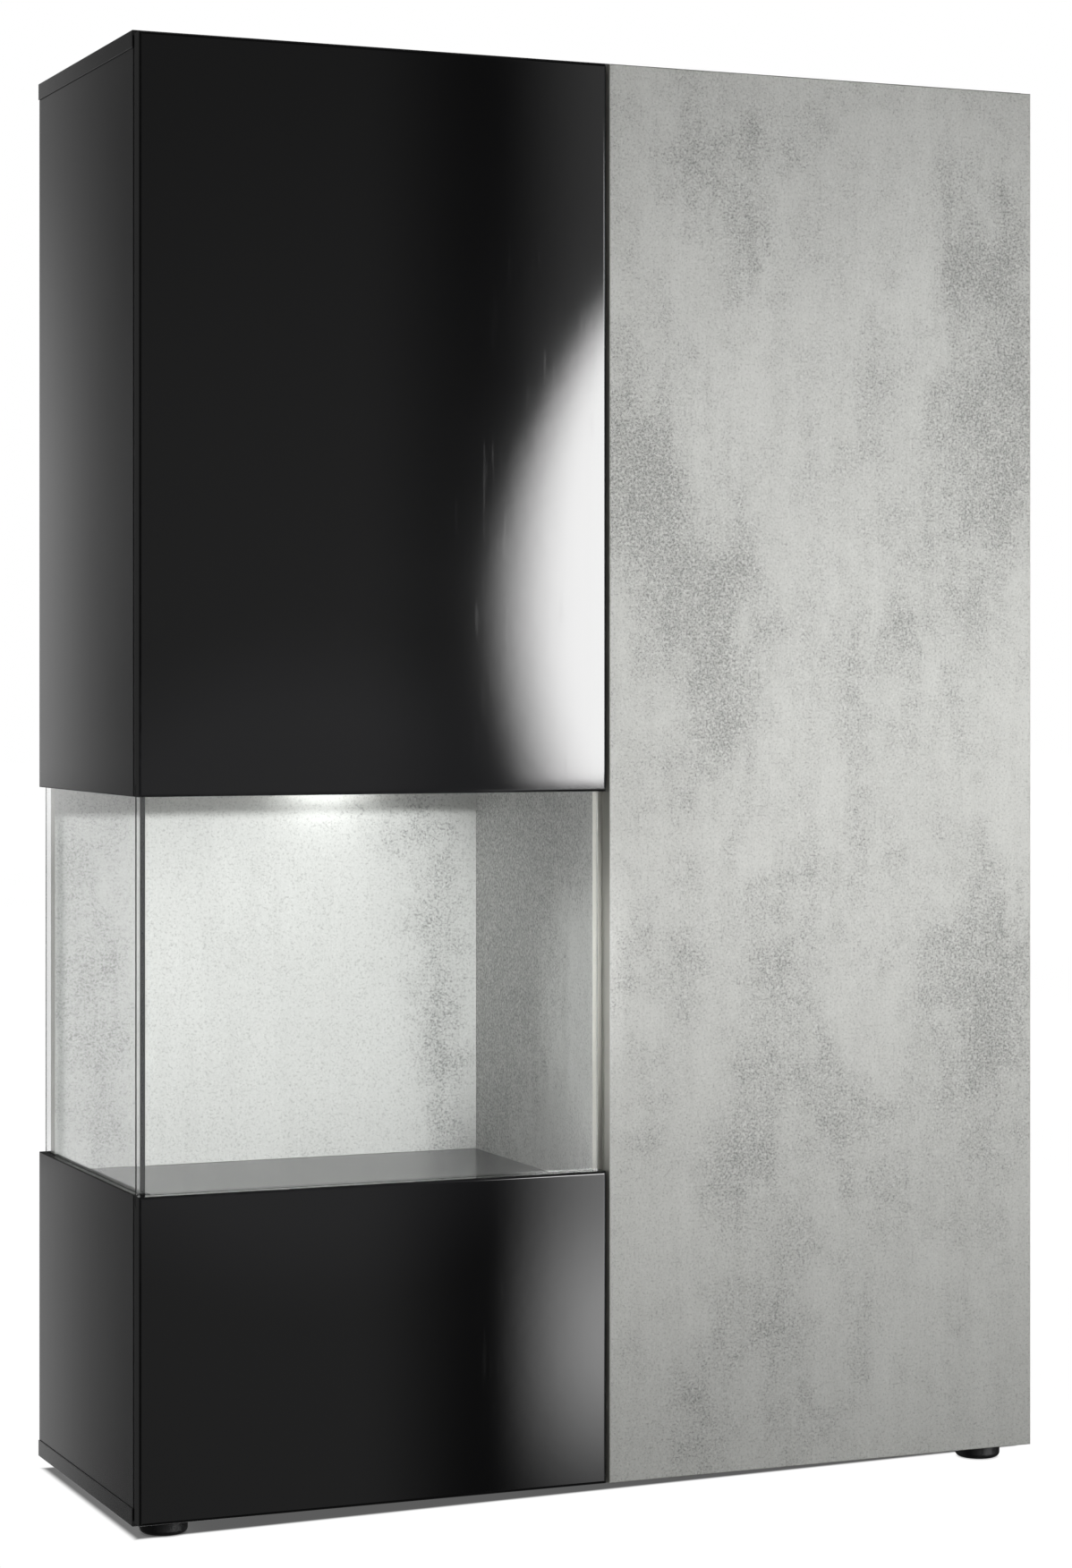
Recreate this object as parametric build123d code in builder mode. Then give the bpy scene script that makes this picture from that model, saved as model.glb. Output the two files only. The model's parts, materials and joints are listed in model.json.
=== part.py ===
from build123d import *

import os

# A tall display cabinet: two handle-less doors on concealed hinges in front of a board carcass.
# Millimetres, +Z up, doors facing -Y. The origin is on the floor, under the middle of the cabinet.

# ---------------------------------------------------------------- driving dimensions
BODY_WIDTH = 930.0            # over the side panels, and over the pair of doors
OVERALL_DEPTH = 351.0         # door fronts to the carcass's rear edge
CARCASS_HEIGHT = 1368.0
FOOT_HEIGHT = 13.0
BOARD = 16.0                  # melamine-faced board
BOARD_OVERHANG = 1.0          # top and bottom boards stand proud of the sides
BOARD_EASE = 0.6              # rounding of the board's banded edges

DOOR_THICKNESS = 18.0
DOOR_INSET = 4.0              # doors stop short of the carcass's top and bottom
DOOR_BACK_GAP = 3.0           # travel that the push latches need
DOOR_MIDDLE_GAP = 3.0
GLOSS_EDGE_RADIUS = 3.0
DECOR_EDGE_RADIUS = 1.2
DOOR_REAR_RADIUS = 1.2

GLAZING_BOTTOM = 303.4        # above the carcass's underside: top edge of the lower door panel
GLAZING_TOP = 667.0           # lower edge of the upper door panel
DISPLAY_STEP = 16.0           # the display floor and ceiling stand this far beyond the glazing
FRONT_GLASS = 4.0
FRONT_GLASS_SETBACK = 11.5    # door front to glass front
FRONT_GLASS_INSET = 4.2       # door's free edge to the end of its glass
SIDE_GLASS = 5.0
SIDE_GLASS_SETBACK = 6.2
GLASS_GROOVE = 8.0            # depth of the grooves that hold the panes
GLASS_PLAY = 0.2
GLASS_END_PLAY = 0.3          # a pane's upright edges to the flush faces beside them
GLASS_GROOVE_PLAY = 0.5       # a pane's hidden edges to the bottom of their grooves
GLASS_EASE = 0.5

BACK_BOARD_SETBACK = 12.5     # rear face of the display back board to the carcass's rear edge
BACK_BOARD_END = 12.2         # its free end to the outside of the left side panel
BACK_SHEET = 3.0              # hardboard behind the closed compartments
BACK_SHEET_SETBACK = 9.0
BACK_SHEET_GROOVE = 6.0
BACK_SHEET_PLAY = 0.2
BACK_SHEET_END_PLAY = 0.5      # in the bottom of its grooves
BACK_SHEET_EASE = 0.3

UPPER_SHELF_HEIGHTS = [1020.0]                 # shelf undersides above the carcass's underside
RIGHT_SHELF_HEIGHTS = [350.0, 684.0, 1018.0]
SHELF_SIDE_PLAY = 1.0
SHELF_FRONT_SETBACK = 5.0
SHELF_REAR_PLAY = 1.0
SHELF_PIN_RADIUS = 2.5
SHELF_PIN_DEPTH = 7.0
SHELF_PIN_PLAY = 0.05
SHELF_REST_RADIUS = 3.0
SHELF_REST_LENGTH = 8.0
SYSTEM_LINE = 37.0            # hole lines from the panel edges
SYSTEM_PITCH = 32.0
PIN_ROW_HOLES = 5

FOOT_RADIUS = 22.5
FOOT_EDGE_RADIUS = 5.0
FOOT_SIDE_INSET = 36.0        # foot axis to the side panel's face
FOOT_END_INSET = 24.0         # foot axis to the carcass's front or rear edge
FOOT_SCREW_RECESS = 4.0
FOOT_RECESS_RADIUS = 5.0
FOOT_SCREW_LENGTH = 20.0

LEFT_HINGE_HEIGHTS = [84.0, 224.0, 767.0, 1264.0]
RIGHT_HINGE_HEIGHTS = [104.0, 491.0, 877.0, 1264.0]
HINGE_PIN = (7.0, 11.5)       # from the side panel's outer face, and forward of the carcass front
HINGE_PIN_RADIUS = 1.4
HINGE_PIN_HALF = 8.0
HINGE_PIN_PLAY = 0.06
HINGE_PIN_PRESS = 0.02        # radial play of the pins' pressed ends in the cheeks
CUP_CENTRE = 20.5             # cup axis to the door's outer edge
CUP_RADIUS = 17.4
CUP_WALL = 0.8
CUP_DEPTH = 12.0
CUP_FLOOR_PLAY = 0.2
CUP_FLANGE = 1.0
CUP_SCREW_OFFSET = 6.0
CUP_SCREW_SPACING = 48.0
CUP_WING_WIDTH = 13.0
CUP_WING_MARGIN = 6.0         # the flange runs this far past its screws
ARM_HALF_WIDTH = 4.0
ARM_THICKNESS = 2.4

LATCH_HEIGHTS = [150.0, 1180.0]
PLUNGER_RADIUS = 4.0
PLUNGER_PLAY = 0.3
PLUNGER_LENGTH = 42.0
STRIKE_THICKNESS = 1.0
STRIKE_RADIUS = 8.0
STRIKE_EDGE_RADIUS = 0.4

LED_FROM_SIDE = 290.0
LED_FROM_BACK_BOARD = 36.0
LED_RADIUS = 28.0
LED_FLANGE_RADIUS = 32.0
LED_FLANGE = 1.4
LED_EDGE_RADIUS = 0.8
LED_RECESS = 9.0
LED_CABLE_RADIUS = 4.0
LED_CABLE_HOLE = 3.0
LED_WALL = 3.0
LED_ROOF = 1.0
LED_PLAY = 0.2
LENS_SETBACK = 0.4
LENS_THICKNESS = 2.6
LENS_EDGE_RADIUS = 0.6

GROMMET_FROM_SIDE = 90.0
GROMMET_LIFT = 45.0           # above the board under it
GROMMET_RADIUS = 15.0
GROMMET_WALL = 3.0
GROMMET_FLANGE = 2.0
GROMMET_EDGE_RADIUS = 0.9

BRACKET_SPACING = 460.0
BRACKET_THICKNESS = 2.0
BRACKET_WIDTH = 30.0
BRACKET_HEIGHT = 40.0
BRACKET_DEPTH = 32.0
BRACKET_CORNER = 5.0
WALL_HOLE_RADIUS = 3.25
WALL_HOLE_MARGIN = 1.0        # the hole in the hardboard behind is larger by this
BRACKET_HOLE_DROP = 24.0      # wall hole below the top board
BRACKET_SCREW_BACK = 20.0     # bracket screw forward of the hardboard
BRACKET_SCREW_LENGTH = 13.0

# screws: shank radius, head radius, head height
FOOT_SCREW = (2.0, 4.0, 2.0)
FLAT_SCREW = (2.0, 3.6, 1.8)  # for the wall brackets and the hinges' mounting plates
CUP_SCREW = (1.75, 3.4, CUP_FLANGE)
LATCH_SCREW = (1.6, 2.9, 1.4)
DRIVE_SPAN = 1.3              # length of a screw's cross slot, in head radii
DRIVE_WIDTH = 0.7
DRIVE_HEIGHT = 1.2            # half of it is in the head
PILOT_RADIUS = 2.1
HOLE_SPARE = 0.3              # pilot holes run this much deeper than their screws
FIT_PLAY = 0.1                # of round fittings in their bores

# ---------------------------------------------------------------- derived places
HALF_WIDTH = BODY_WIDTH / 2
FRONT = -OVERALL_DEPTH / 2
REAR = OVERALL_DEPTH / 2
DOOR_REAR = FRONT + DOOR_THICKNESS
CARCASS_FRONT = DOOR_REAR + DOOR_BACK_GAP
BASE = FOOT_HEIGHT
TOP = BASE + CARCASS_HEIGHT
INNER_BOTTOM = BASE + BOARD
INNER_TOP = TOP - BOARD
INNER_SIDE = HALF_WIDTH - BOARD
GLASS_LOW = BASE + GLAZING_BOTTOM
GLASS_HIGH = BASE + GLAZING_TOP
DISPLAY_LOW = GLASS_LOW - DISPLAY_STEP
DISPLAY_HIGH = GLASS_HIGH + DISPLAY_STEP
BACK_BOARD_REAR = REAR - BACK_BOARD_SETBACK
BACK_BOARD_FRONT = BACK_BOARD_REAR - BOARD
SHEET_REAR = REAR - BACK_SHEET_SETBACK
SHEET_FRONT = SHEET_REAR - BACK_SHEET
PIN_LINES = (CARCASS_FRONT + SYSTEM_LINE, CARCASS_FRONT + SYSTEM_LINE + 7 * SYSTEM_PITCH)
LEFT, RIGHT = -1, 1


# ---------------------------------------------------------------- shared shapes
def save(piece, label):
    """Name a finished piece and write it."""
    piece.part.label = label
    export_step(piece.part, f"parts/{label}.step")


def middle(low, high):
    """The centre of the box between two corners."""
    return tuple((a + b) / 2 for a, b in zip(low, high))


def span(low, high):
    """The three side lengths of the box between two corners."""
    return tuple(b - a for a, b in zip(low, high))


def board(low, high, ease=BOARD_EASE):
    """A board between two corners, its edges eased."""
    centre = middle(low, high)
    size = span(low, high)
    with BuildPart() as piece:
        with BuildSketch(Plane.XY.offset(low[2])):
            with Locations(centre[:2]):
                Rectangle(size[0], size[1])
        extrude(amount=size[2])
        fillet(piece.edges(), ease)
    return piece.part


def pocket(low, high):
    """Cut the box between two corners out of the piece being built."""
    with Locations(middle(low, high)):
        Box(*span(low, high), mode=Mode.SUBTRACT)


def rod(start, direction, radius, length, mode=Mode.ADD):
    """A cylinder from a point along a direction, added to the piece being built or cut from it."""
    with Locations(Plane(start, z_dir=direction).location):
        Cylinder(radius, length, align=(Align.CENTER, Align.CENTER, Align.MIN), mode=mode)


def bore(start, direction, radius, depth):
    """A round hole from a point along a direction."""
    rod(start, direction, radius, depth, Mode.SUBTRACT)


FROM_HEAD = (Align.CENTER, Align.CENTER, Align.MIN)


def screw(head, direction, sizes, length):
    """A countersunk screw, its head's face at a point and its shank along a direction."""
    radius, head_radius, head_height = sizes
    with Locations(Plane(head, z_dir=direction).location):
        Cone(head_radius, radius, head_height, align=FROM_HEAD)
        Cylinder(radius, length, align=FROM_HEAD)
    with Locations(Plane(head, z_dir=direction).location):
        Box(head_radius * DRIVE_SPAN, DRIVE_WIDTH, DRIVE_HEIGHT, mode=Mode.SUBTRACT)
        Box(DRIVE_WIDTH, head_radius * DRIVE_SPAN, DRIVE_HEIGHT, mode=Mode.SUBTRACT)


def screw_hole(head, direction, sizes, length):
    """The countersunk hole that a screw of the same sizes fits."""
    radius, head_radius, head_height = sizes
    with Locations(Plane(head, z_dir=direction).location):
        Cone(
            head_radius + FIT_PLAY, radius + FIT_PLAY, head_height,
            align=FROM_HEAD, mode=Mode.SUBTRACT,
        )
        Cylinder(radius + FIT_PLAY, length + FIT_PLAY, align=FROM_HEAD, mode=Mode.SUBTRACT)


# ---------------------------------------------------------------- carcass joints
# Each joint draws a panel's end against a board with two cam locks and a dowel between them.
CAM_DISTANCE = 34.0
CAM_RADIUS = 7.4
CAM_DEPTH = 12.4
CAM_BOLT_RADIUS = 3.4
CAM_THREAD_RADIUS = 3.0
CAM_THREAD = 11.0
DOWEL_RADIUS = 4.0
DOWEL_HALF = 11.0
CAM_SETBACK = 0.2              # a cam's face below the board's face
CAM_BOLT_PLAY = 0.5           # a bolt's end stops short of the cam's axis
CAM_MOUTH = 2.0               # the bolt's way into a cam starts this far outside it
CAM_SLOT = (9.0, 1.4, 3.0)
CAM_INSET = 60.0              # from the carcass's front and rear edges
DOWEL_INSET = 92.0
CAM_LINES = (CARCASS_FRONT + CAM_INSET, REAR - CAM_INSET)
DOWEL_LINES = (CARCASS_FRONT + DOWEL_INSET, REAR - DOWEL_INSET)

UP, DOWN = Vector(0, 0, 1), Vector(0, 0, -1)
TO_RIGHT, TO_LEFT = Vector(1, 0, 0), Vector(-1, 0, 0)
SIDE_MIDDLE = HALF_WIDTH - BOARD / 2
FLOOR_MIDDLE = DISPLAY_LOW - BOARD / 2
CEILING_MIDDLE = DISPLAY_HIGH + BOARD / 2

# panel, board, x and z of the joint on the panel's centre plane, direction into the panel,
# direction that the cam's face looks
JOINTS = [
    ("left_side_upper", "top_board", -SIDE_MIDDLE, INNER_TOP, DOWN, TO_RIGHT),
    ("left_side_lower", "bottom_board", -SIDE_MIDDLE, INNER_BOTTOM, UP, TO_RIGHT),
    ("right_side", "top_board", SIDE_MIDDLE, INNER_TOP, DOWN, TO_LEFT),
    ("right_side", "bottom_board", SIDE_MIDDLE, INNER_BOTTOM, UP, TO_LEFT),
    ("centre_partition", "top_board", 0.0, INNER_TOP, DOWN, TO_RIGHT),
    ("centre_partition", "bottom_board", 0.0, INNER_BOTTOM, UP, TO_RIGHT),
    ("display_floor", "left_side_lower", -INNER_SIDE, FLOOR_MIDDLE, TO_RIGHT, DOWN),
    ("display_floor", "centre_partition", -BOARD / 2, FLOOR_MIDDLE, TO_LEFT, DOWN),
    ("display_ceiling", "left_side_upper", -INNER_SIDE, CEILING_MIDDLE, TO_RIGHT, UP),
    ("display_ceiling", "centre_partition", -BOARD / 2, CEILING_MIDDLE, TO_LEFT, UP),
]


def cut_joints(name):
    """Cut every cam, bolt and dowel hole that the joints put in the named board."""
    for panel, mate, x, z, inward, face in JOINTS:
        for y in CAM_LINES:
            end = Vector(x, y, z)
            if name == panel:
                mouth = end + inward * CAM_DISTANCE + face * (BOARD / 2)
                bore(mouth, face * -1, CAM_RADIUS + FIT_PLAY, CAM_DEPTH + FIT_PLAY)
                bore(end, inward, CAM_BOLT_RADIUS + FIT_PLAY, CAM_DISTANCE)
            if name == mate:
                bore(end, inward * -1, CAM_THREAD_RADIUS + FIT_PLAY, CAM_THREAD + FIT_PLAY)
        for y in DOWEL_LINES:
            end = Vector(x, y, z)
            depth = DOWEL_HALF + FIT_PLAY
            if name == panel:
                bore(end, inward, DOWEL_RADIUS + FIT_PLAY, depth)
            if name == mate:
                bore(end, inward * -1, DOWEL_RADIUS + FIT_PLAY, depth)


def cut_pin_rows(x, direction, heights):
    """Cut the rows of shelf-pin holes around each shelf height into a panel's face."""
    reach = (PIN_ROW_HOLES - 1) / 2
    for height in heights:
        for y in PIN_LINES:
            for step in range(PIN_ROW_HOLES):
                z = BASE + height - SHELF_REST_RADIUS + (step - reach) * SYSTEM_PITCH
                hole = Vector(x, y, z)
                bore(hole, direction, SHELF_PIN_RADIUS + SHELF_PIN_PLAY, SHELF_PIN_DEPTH + FIT_PLAY)


def cut_sheet_groove(low, high):
    """Cut a hardboard groove: x and z limits are given, the groove's y limits are the sheet's."""
    pocket(
        (low[0], SHEET_FRONT - BACK_SHEET_PLAY, low[1]),
        (high[0], SHEET_REAR + BACK_SHEET_PLAY, high[1]),
    )


# ---------------------------------------------------------------- hinge and latch places
def hinge_plane(side, height):
    """Plan-view plane of a hinge: local x runs in from the side panel's face, local y forward."""
    return Plane(
        origin=(side * HALF_WIDTH, CARCASS_FRONT, BASE + height),
        x_dir=(-side, 0, 0),
        z_dir=(0, 0, side),
    )


def hinge_point(side, height, inward, forward, lift=0.0):
    """A point in a hinge's plan view, as a place in the cabinet."""
    return Vector(side * (HALF_WIDTH - inward), CARCASS_FRONT - forward, BASE + height + lift)


CUP_SCREW_LENGTH = 11.0
PLATE_SCREW_LENGTH = 11.5
PLATE_SCREW_SPACING = 32.0
PLATE_THICKNESS = 2.0
FORWARD, BACKWARD = Vector(0, -1, 0), Vector(0, 1, 0)


def cup_screw_heads(side, height):
    """Where a cup's two screw heads lie on its flange."""
    return [
        hinge_point(side, height, CUP_CENTRE + CUP_SCREW_OFFSET, DOOR_BACK_GAP - CUP_FLANGE, lift)
        for lift in (-CUP_SCREW_SPACING / 2, CUP_SCREW_SPACING / 2)
    ]


def plate_screw_heads(side, height):
    """Where a mounting plate's two screw heads lie."""
    return [
        hinge_point(side, height, BOARD + PLATE_THICKNESS, -SYSTEM_LINE, lift)
        for lift in (-PLATE_SCREW_SPACING / 2, PLATE_SCREW_SPACING / 2)
    ]


LATCH_AXIS = 8.5              # plunger axis to the partition's face
LATCH_BARREL = 6.5
LATCH_FRONT_SETBACK = 1.0
LATCH_FRONT = CARCASS_FRONT + LATCH_FRONT_SETBACK
LATCH_LENGTH = 72.0
LATCH_BASE = 2.5
LATCH_BASE_HALF = 13.0
LATCH_EDGE_RADIUS = 3.0
LATCH_END_WALL = 6.0
LATCH_SCREW_PLACES = ((12.0, 9.6), (60.0, -9.6))   # behind the barrel's front, above its axis
LATCH_SCREW_LENGTH = 9.0
STRIKE_GAP = 0.3
PLUNGER_TIP = DOOR_REAR + STRIKE_THICKNESS + STRIKE_GAP


def latch_point(side, height, outward, y, lift=0.0):
    """A point beside the partition: outward from its face, at depth y."""
    return Vector(side * (BOARD / 2 + outward), y, BASE + height + lift)


def latch_screw_heads(side, height):
    """Where a latch housing's two screw heads lie."""
    return [
        latch_point(side, height, LATCH_BASE, LATCH_FRONT + back, lift)
        for back, lift in LATCH_SCREW_PLACES
    ]


def side_direction(side):
    """Unit vector towards the outside of the cabinet on a side."""
    return Vector(side, 0, 0)


def cut_plate_screws(side, heights):
    """Cut the pilot holes of the hinge mounting plates into a side panel."""
    for height in heights:
        for head in plate_screw_heads(side, height):
            start = head + side_direction(side) * PLATE_THICKNESS
            bore(start, side_direction(side), PILOT_RADIUS, PLATE_SCREW_LENGTH)


os.makedirs("parts", exist_ok=True)

# ---------------------------------------------------------------- top and bottom boards
OUTER = HALF_WIDTH + BOARD_OVERHANG
GROOVE_INNER = INNER_SIDE + BACK_SHEET_GROOVE
PARTITION_GROOVE = BOARD / 2 - BACK_SHEET_GROOVE
BRACKET_PLACES = (-BRACKET_SPACING / 2, BRACKET_SPACING / 2)
BRACKET_SCREW_Y = SHEET_FRONT - BRACKET_SCREW_BACK

with BuildPart() as top_board:
    add(board((-OUTER, CARCASS_FRONT, INNER_TOP), (OUTER, REAR, TOP)))
    cut_joints("top_board")
    cut_sheet_groove((-GROOVE_INNER, INNER_TOP), (-PARTITION_GROOVE, INNER_TOP + BACK_SHEET_GROOVE))
    cut_sheet_groove((PARTITION_GROOVE, INNER_TOP), (GROOVE_INNER, INNER_TOP + BACK_SHEET_GROOVE))
    for x in BRACKET_PLACES:
        pilot = BRACKET_SCREW_LENGTH - BRACKET_THICKNESS + HOLE_SPARE
        bore(Vector(x, BRACKET_SCREW_Y, INNER_TOP), UP, PILOT_RADIUS, pilot)
save(top_board, "top_board")

FOOT_PLACES = {
    "front_left": (-HALF_WIDTH + FOOT_SIDE_INSET, CARCASS_FRONT + FOOT_END_INSET),
    "front_right": (HALF_WIDTH - FOOT_SIDE_INSET, CARCASS_FRONT + FOOT_END_INSET),
    "rear_left": (-HALF_WIDTH + FOOT_SIDE_INSET, REAR - FOOT_END_INSET),
    "rear_right": (HALF_WIDTH - FOOT_SIDE_INSET, REAR - FOOT_END_INSET),
}

with BuildPart() as bottom_board:
    add(board((-OUTER, CARCASS_FRONT, BASE), (OUTER, REAR, INNER_BOTTOM)))
    cut_joints("bottom_board")
    groove_low = INNER_BOTTOM - BACK_SHEET_GROOVE
    cut_sheet_groove((-GROOVE_INNER, groove_low), (-PARTITION_GROOVE, INNER_BOTTOM))
    cut_sheet_groove((PARTITION_GROOVE, groove_low), (GROOVE_INNER, INNER_BOTTOM))
    for x, y in FOOT_PLACES.values():
        pilot = FOOT_SCREW_LENGTH - (BASE - FOOT_SCREW_RECESS) + HOLE_SPARE
        bore(Vector(x, y, BASE), UP, PILOT_RADIUS, pilot)
save(bottom_board, "bottom_board")

# ---------------------------------------------------------------- side panels and partition
CEILING_GROOVE = DISPLAY_HIGH + BOARD - BACK_SHEET_GROOVE
FLOOR_GROOVE = DISPLAY_LOW - BOARD + BACK_SHEET_GROOVE
PANE_LOW = -HALF_WIDTH + SIDE_GLASS_SETBACK
PANE_HIGH = PANE_LOW + SIDE_GLASS

with BuildPart() as left_side_upper:
    add(board((-HALF_WIDTH, CARCASS_FRONT, GLASS_HIGH), (-INNER_SIDE, REAR, INNER_TOP)))
    cut_joints("left_side_upper")
    cut_pin_rows(-INNER_SIDE, TO_LEFT, UPPER_SHELF_HEIGHTS)
    cut_plate_screws(LEFT, LEFT_HINGE_HEIGHTS[2:])
    cut_sheet_groove((-GROOVE_INNER, CEILING_GROOVE), (-INNER_SIDE, INNER_TOP))
    pocket(
        (PANE_LOW - GLASS_PLAY, CARCASS_FRONT, GLASS_HIGH),
        (PANE_HIGH + GLASS_PLAY, REAR, GLASS_HIGH + GLASS_GROOVE),
    )
save(left_side_upper, "left_side_upper")

with BuildPart() as left_side_lower:
    add(board((-HALF_WIDTH, CARCASS_FRONT, INNER_BOTTOM), (-INNER_SIDE, REAR, GLASS_LOW)))
    cut_joints("left_side_lower")
    cut_plate_screws(LEFT, LEFT_HINGE_HEIGHTS[:2])
    cut_sheet_groove((-GROOVE_INNER, INNER_BOTTOM), (-INNER_SIDE, FLOOR_GROOVE))
    pocket(
        (PANE_LOW - GLASS_PLAY, CARCASS_FRONT, GLASS_LOW - GLASS_GROOVE),
        (PANE_HIGH + GLASS_PLAY, REAR, GLASS_LOW),
    )
save(left_side_lower, "left_side_lower")

with BuildPart() as right_side:
    add(board((INNER_SIDE, CARCASS_FRONT, INNER_BOTTOM), (HALF_WIDTH, REAR, INNER_TOP)))
    cut_joints("right_side")
    cut_pin_rows(INNER_SIDE, TO_RIGHT, RIGHT_SHELF_HEIGHTS)
    cut_plate_screws(RIGHT, RIGHT_HINGE_HEIGHTS)
    cut_sheet_groove((INNER_SIDE, INNER_BOTTOM), (GROOVE_INNER, INNER_TOP))
save(right_side, "right_side")

with BuildPart() as centre_partition:
    add(board((-BOARD / 2, CARCASS_FRONT, INNER_BOTTOM), (BOARD / 2, REAR, INNER_TOP)))
    cut_joints("centre_partition")
    cut_pin_rows(-BOARD / 2, TO_RIGHT, UPPER_SHELF_HEIGHTS)
    cut_pin_rows(BOARD / 2, TO_LEFT, RIGHT_SHELF_HEIGHTS)
    cut_sheet_groove((-BOARD / 2, INNER_BOTTOM), (-PARTITION_GROOVE, FLOOR_GROOVE))
    cut_sheet_groove((-BOARD / 2, CEILING_GROOVE), (-PARTITION_GROOVE, INNER_TOP))
    cut_sheet_groove((PARTITION_GROOVE, INNER_BOTTOM), (BOARD / 2, INNER_TOP))
    for side in (LEFT, RIGHT):
        for height in LATCH_HEIGHTS:
            for head in latch_screw_heads(side, height):
                start = head - side_direction(side) * LATCH_BASE
                pilot = LATCH_SCREW_LENGTH - LATCH_BASE + HOLE_SPARE
                bore(start, side_direction(-side), LATCH_SCREW[0] + FIT_PLAY, pilot)
save(centre_partition, "centre_partition")

# ---------------------------------------------------------------- display compartment
LED_PLACE = (-HALF_WIDTH + LED_FROM_SIDE, BACK_BOARD_FRONT - LED_FROM_BACK_BOARD)

with BuildPart() as display_floor:
    add(board((-INNER_SIDE, CARCASS_FRONT, DISPLAY_LOW - BOARD), (-BOARD / 2, REAR, DISPLAY_LOW)))
    cut_joints("display_floor")
    cut_sheet_groove((-INNER_SIDE, DISPLAY_LOW - BOARD), (-BOARD / 2, FLOOR_GROOVE))
save(display_floor, "display_floor")

with BuildPart() as display_ceiling:
    add(board((-INNER_SIDE, CARCASS_FRONT, DISPLAY_HIGH), (-BOARD / 2, REAR, DISPLAY_HIGH + BOARD)))
    cut_joints("display_ceiling")
    cut_sheet_groove((-INNER_SIDE, CEILING_GROOVE), (-BOARD / 2, DISPLAY_HIGH + BOARD))
    bore(Vector(*LED_PLACE, DISPLAY_HIGH), UP, LED_RADIUS + LED_PLAY, LED_RECESS + LED_PLAY)
    bore(Vector(*LED_PLACE, DISPLAY_HIGH), UP, LED_CABLE_RADIUS, BOARD)
save(display_ceiling, "display_ceiling")

NOTCH_PLAY = 0.3
BACK_BOARD_LEFT = -HALF_WIDTH + BACK_BOARD_END

with BuildPart() as display_back_board:
    add(
        board(
            (BACK_BOARD_LEFT, BACK_BOARD_FRONT, DISPLAY_LOW),
            (-BOARD / 2, BACK_BOARD_REAR, DISPLAY_HIGH),
        )
    )
    for low, high in (
        (DISPLAY_LOW, GLASS_LOW + NOTCH_PLAY),
        (GLASS_HIGH - NOTCH_PLAY, DISPLAY_HIGH),
    ):
        pocket(
            (BACK_BOARD_LEFT, BACK_BOARD_FRONT, low),
            (-INNER_SIDE + NOTCH_PLAY, BACK_BOARD_REAR, high),
        )
save(display_back_board, "display_back_board")

with BuildPart() as side_glass:
    add(
        board(
            (PANE_LOW, CARCASS_FRONT + GLASS_END_PLAY, GLASS_LOW - GLASS_GROOVE + GLASS_GROOVE_PLAY),
            (PANE_HIGH, REAR - GLASS_END_PLAY, GLASS_HIGH + GLASS_GROOVE - GLASS_GROOVE_PLAY),
            GLASS_EASE,
        )
    )
save(side_glass, "side_glass")

with BuildPart() as led_spot_body:
    rod(Vector(*LED_PLACE, DISPLAY_HIGH - LED_FLANGE), UP, LED_FLANGE_RADIUS, LED_FLANGE)
    rod(Vector(*LED_PLACE, DISPLAY_HIGH), UP, LED_RADIUS, LED_RECESS)
    fillet(led_spot_body.edges().group_by(Axis.Z)[0], LED_EDGE_RADIUS)
    mouth = Vector(*LED_PLACE, DISPLAY_HIGH - LED_FLANGE)
    bore(mouth, UP, LED_RADIUS - LED_WALL, LED_RECESS - LED_ROOF)
    bore(mouth, UP, LED_CABLE_HOLE, 2 * LED_RECESS)
save(led_spot_body, "led_spot_body")

with BuildPart() as led_spot_lens:
    face = Vector(*LED_PLACE, DISPLAY_HIGH - LED_FLANGE + LENS_SETBACK)
    rod(face, UP, LED_RADIUS - LED_WALL - FIT_PLAY, LENS_THICKNESS)
    fillet(led_spot_lens.edges().group_by(Axis.Z)[0], LENS_EDGE_RADIUS)
save(led_spot_lens, "led_spot_lens")

# ---------------------------------------------------------------- hardboard backs and grommet
GROMMET_PLACE = (-HALF_WIDTH + GROMMET_FROM_SIDE, DISPLAY_HIGH + BOARD + GROMMET_LIFT)
SHEET_REACH = BACK_SHEET_GROOVE - BACK_SHEET_END_PLAY

BACK_SHEETS = {
    "upper_back_panel": (-INNER_SIDE, -BOARD / 2, DISPLAY_HIGH + BOARD, INNER_TOP),
    "lower_back_panel": (-INNER_SIDE, -BOARD / 2, INNER_BOTTOM, DISPLAY_LOW - BOARD),
    "right_back_panel": (BOARD / 2, INNER_SIDE, INNER_BOTTOM, INNER_TOP),
}

for name, (x_low, x_high, z_low, z_high) in BACK_SHEETS.items():
    with BuildPart() as sheet:
        add(
            board(
                (x_low - SHEET_REACH, SHEET_FRONT, z_low - SHEET_REACH),
                (x_high + SHEET_REACH, SHEET_REAR, z_high + SHEET_REACH),
                BACK_SHEET_EASE,
            )
        )
        for x in BRACKET_PLACES:
            if z_high == INNER_TOP and x_low < x < x_high:
                hole = Vector(x, SHEET_FRONT, INNER_TOP - BRACKET_HOLE_DROP)
                bore(hole, BACKWARD, WALL_HOLE_RADIUS + WALL_HOLE_MARGIN, BACK_SHEET)
        if name == "upper_back_panel":
            hole = Vector(GROMMET_PLACE[0], SHEET_FRONT, GROMMET_PLACE[1])
            bore(hole, BACKWARD, GROMMET_RADIUS + FIT_PLAY, BACK_SHEET)
    save(sheet, name)

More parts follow.
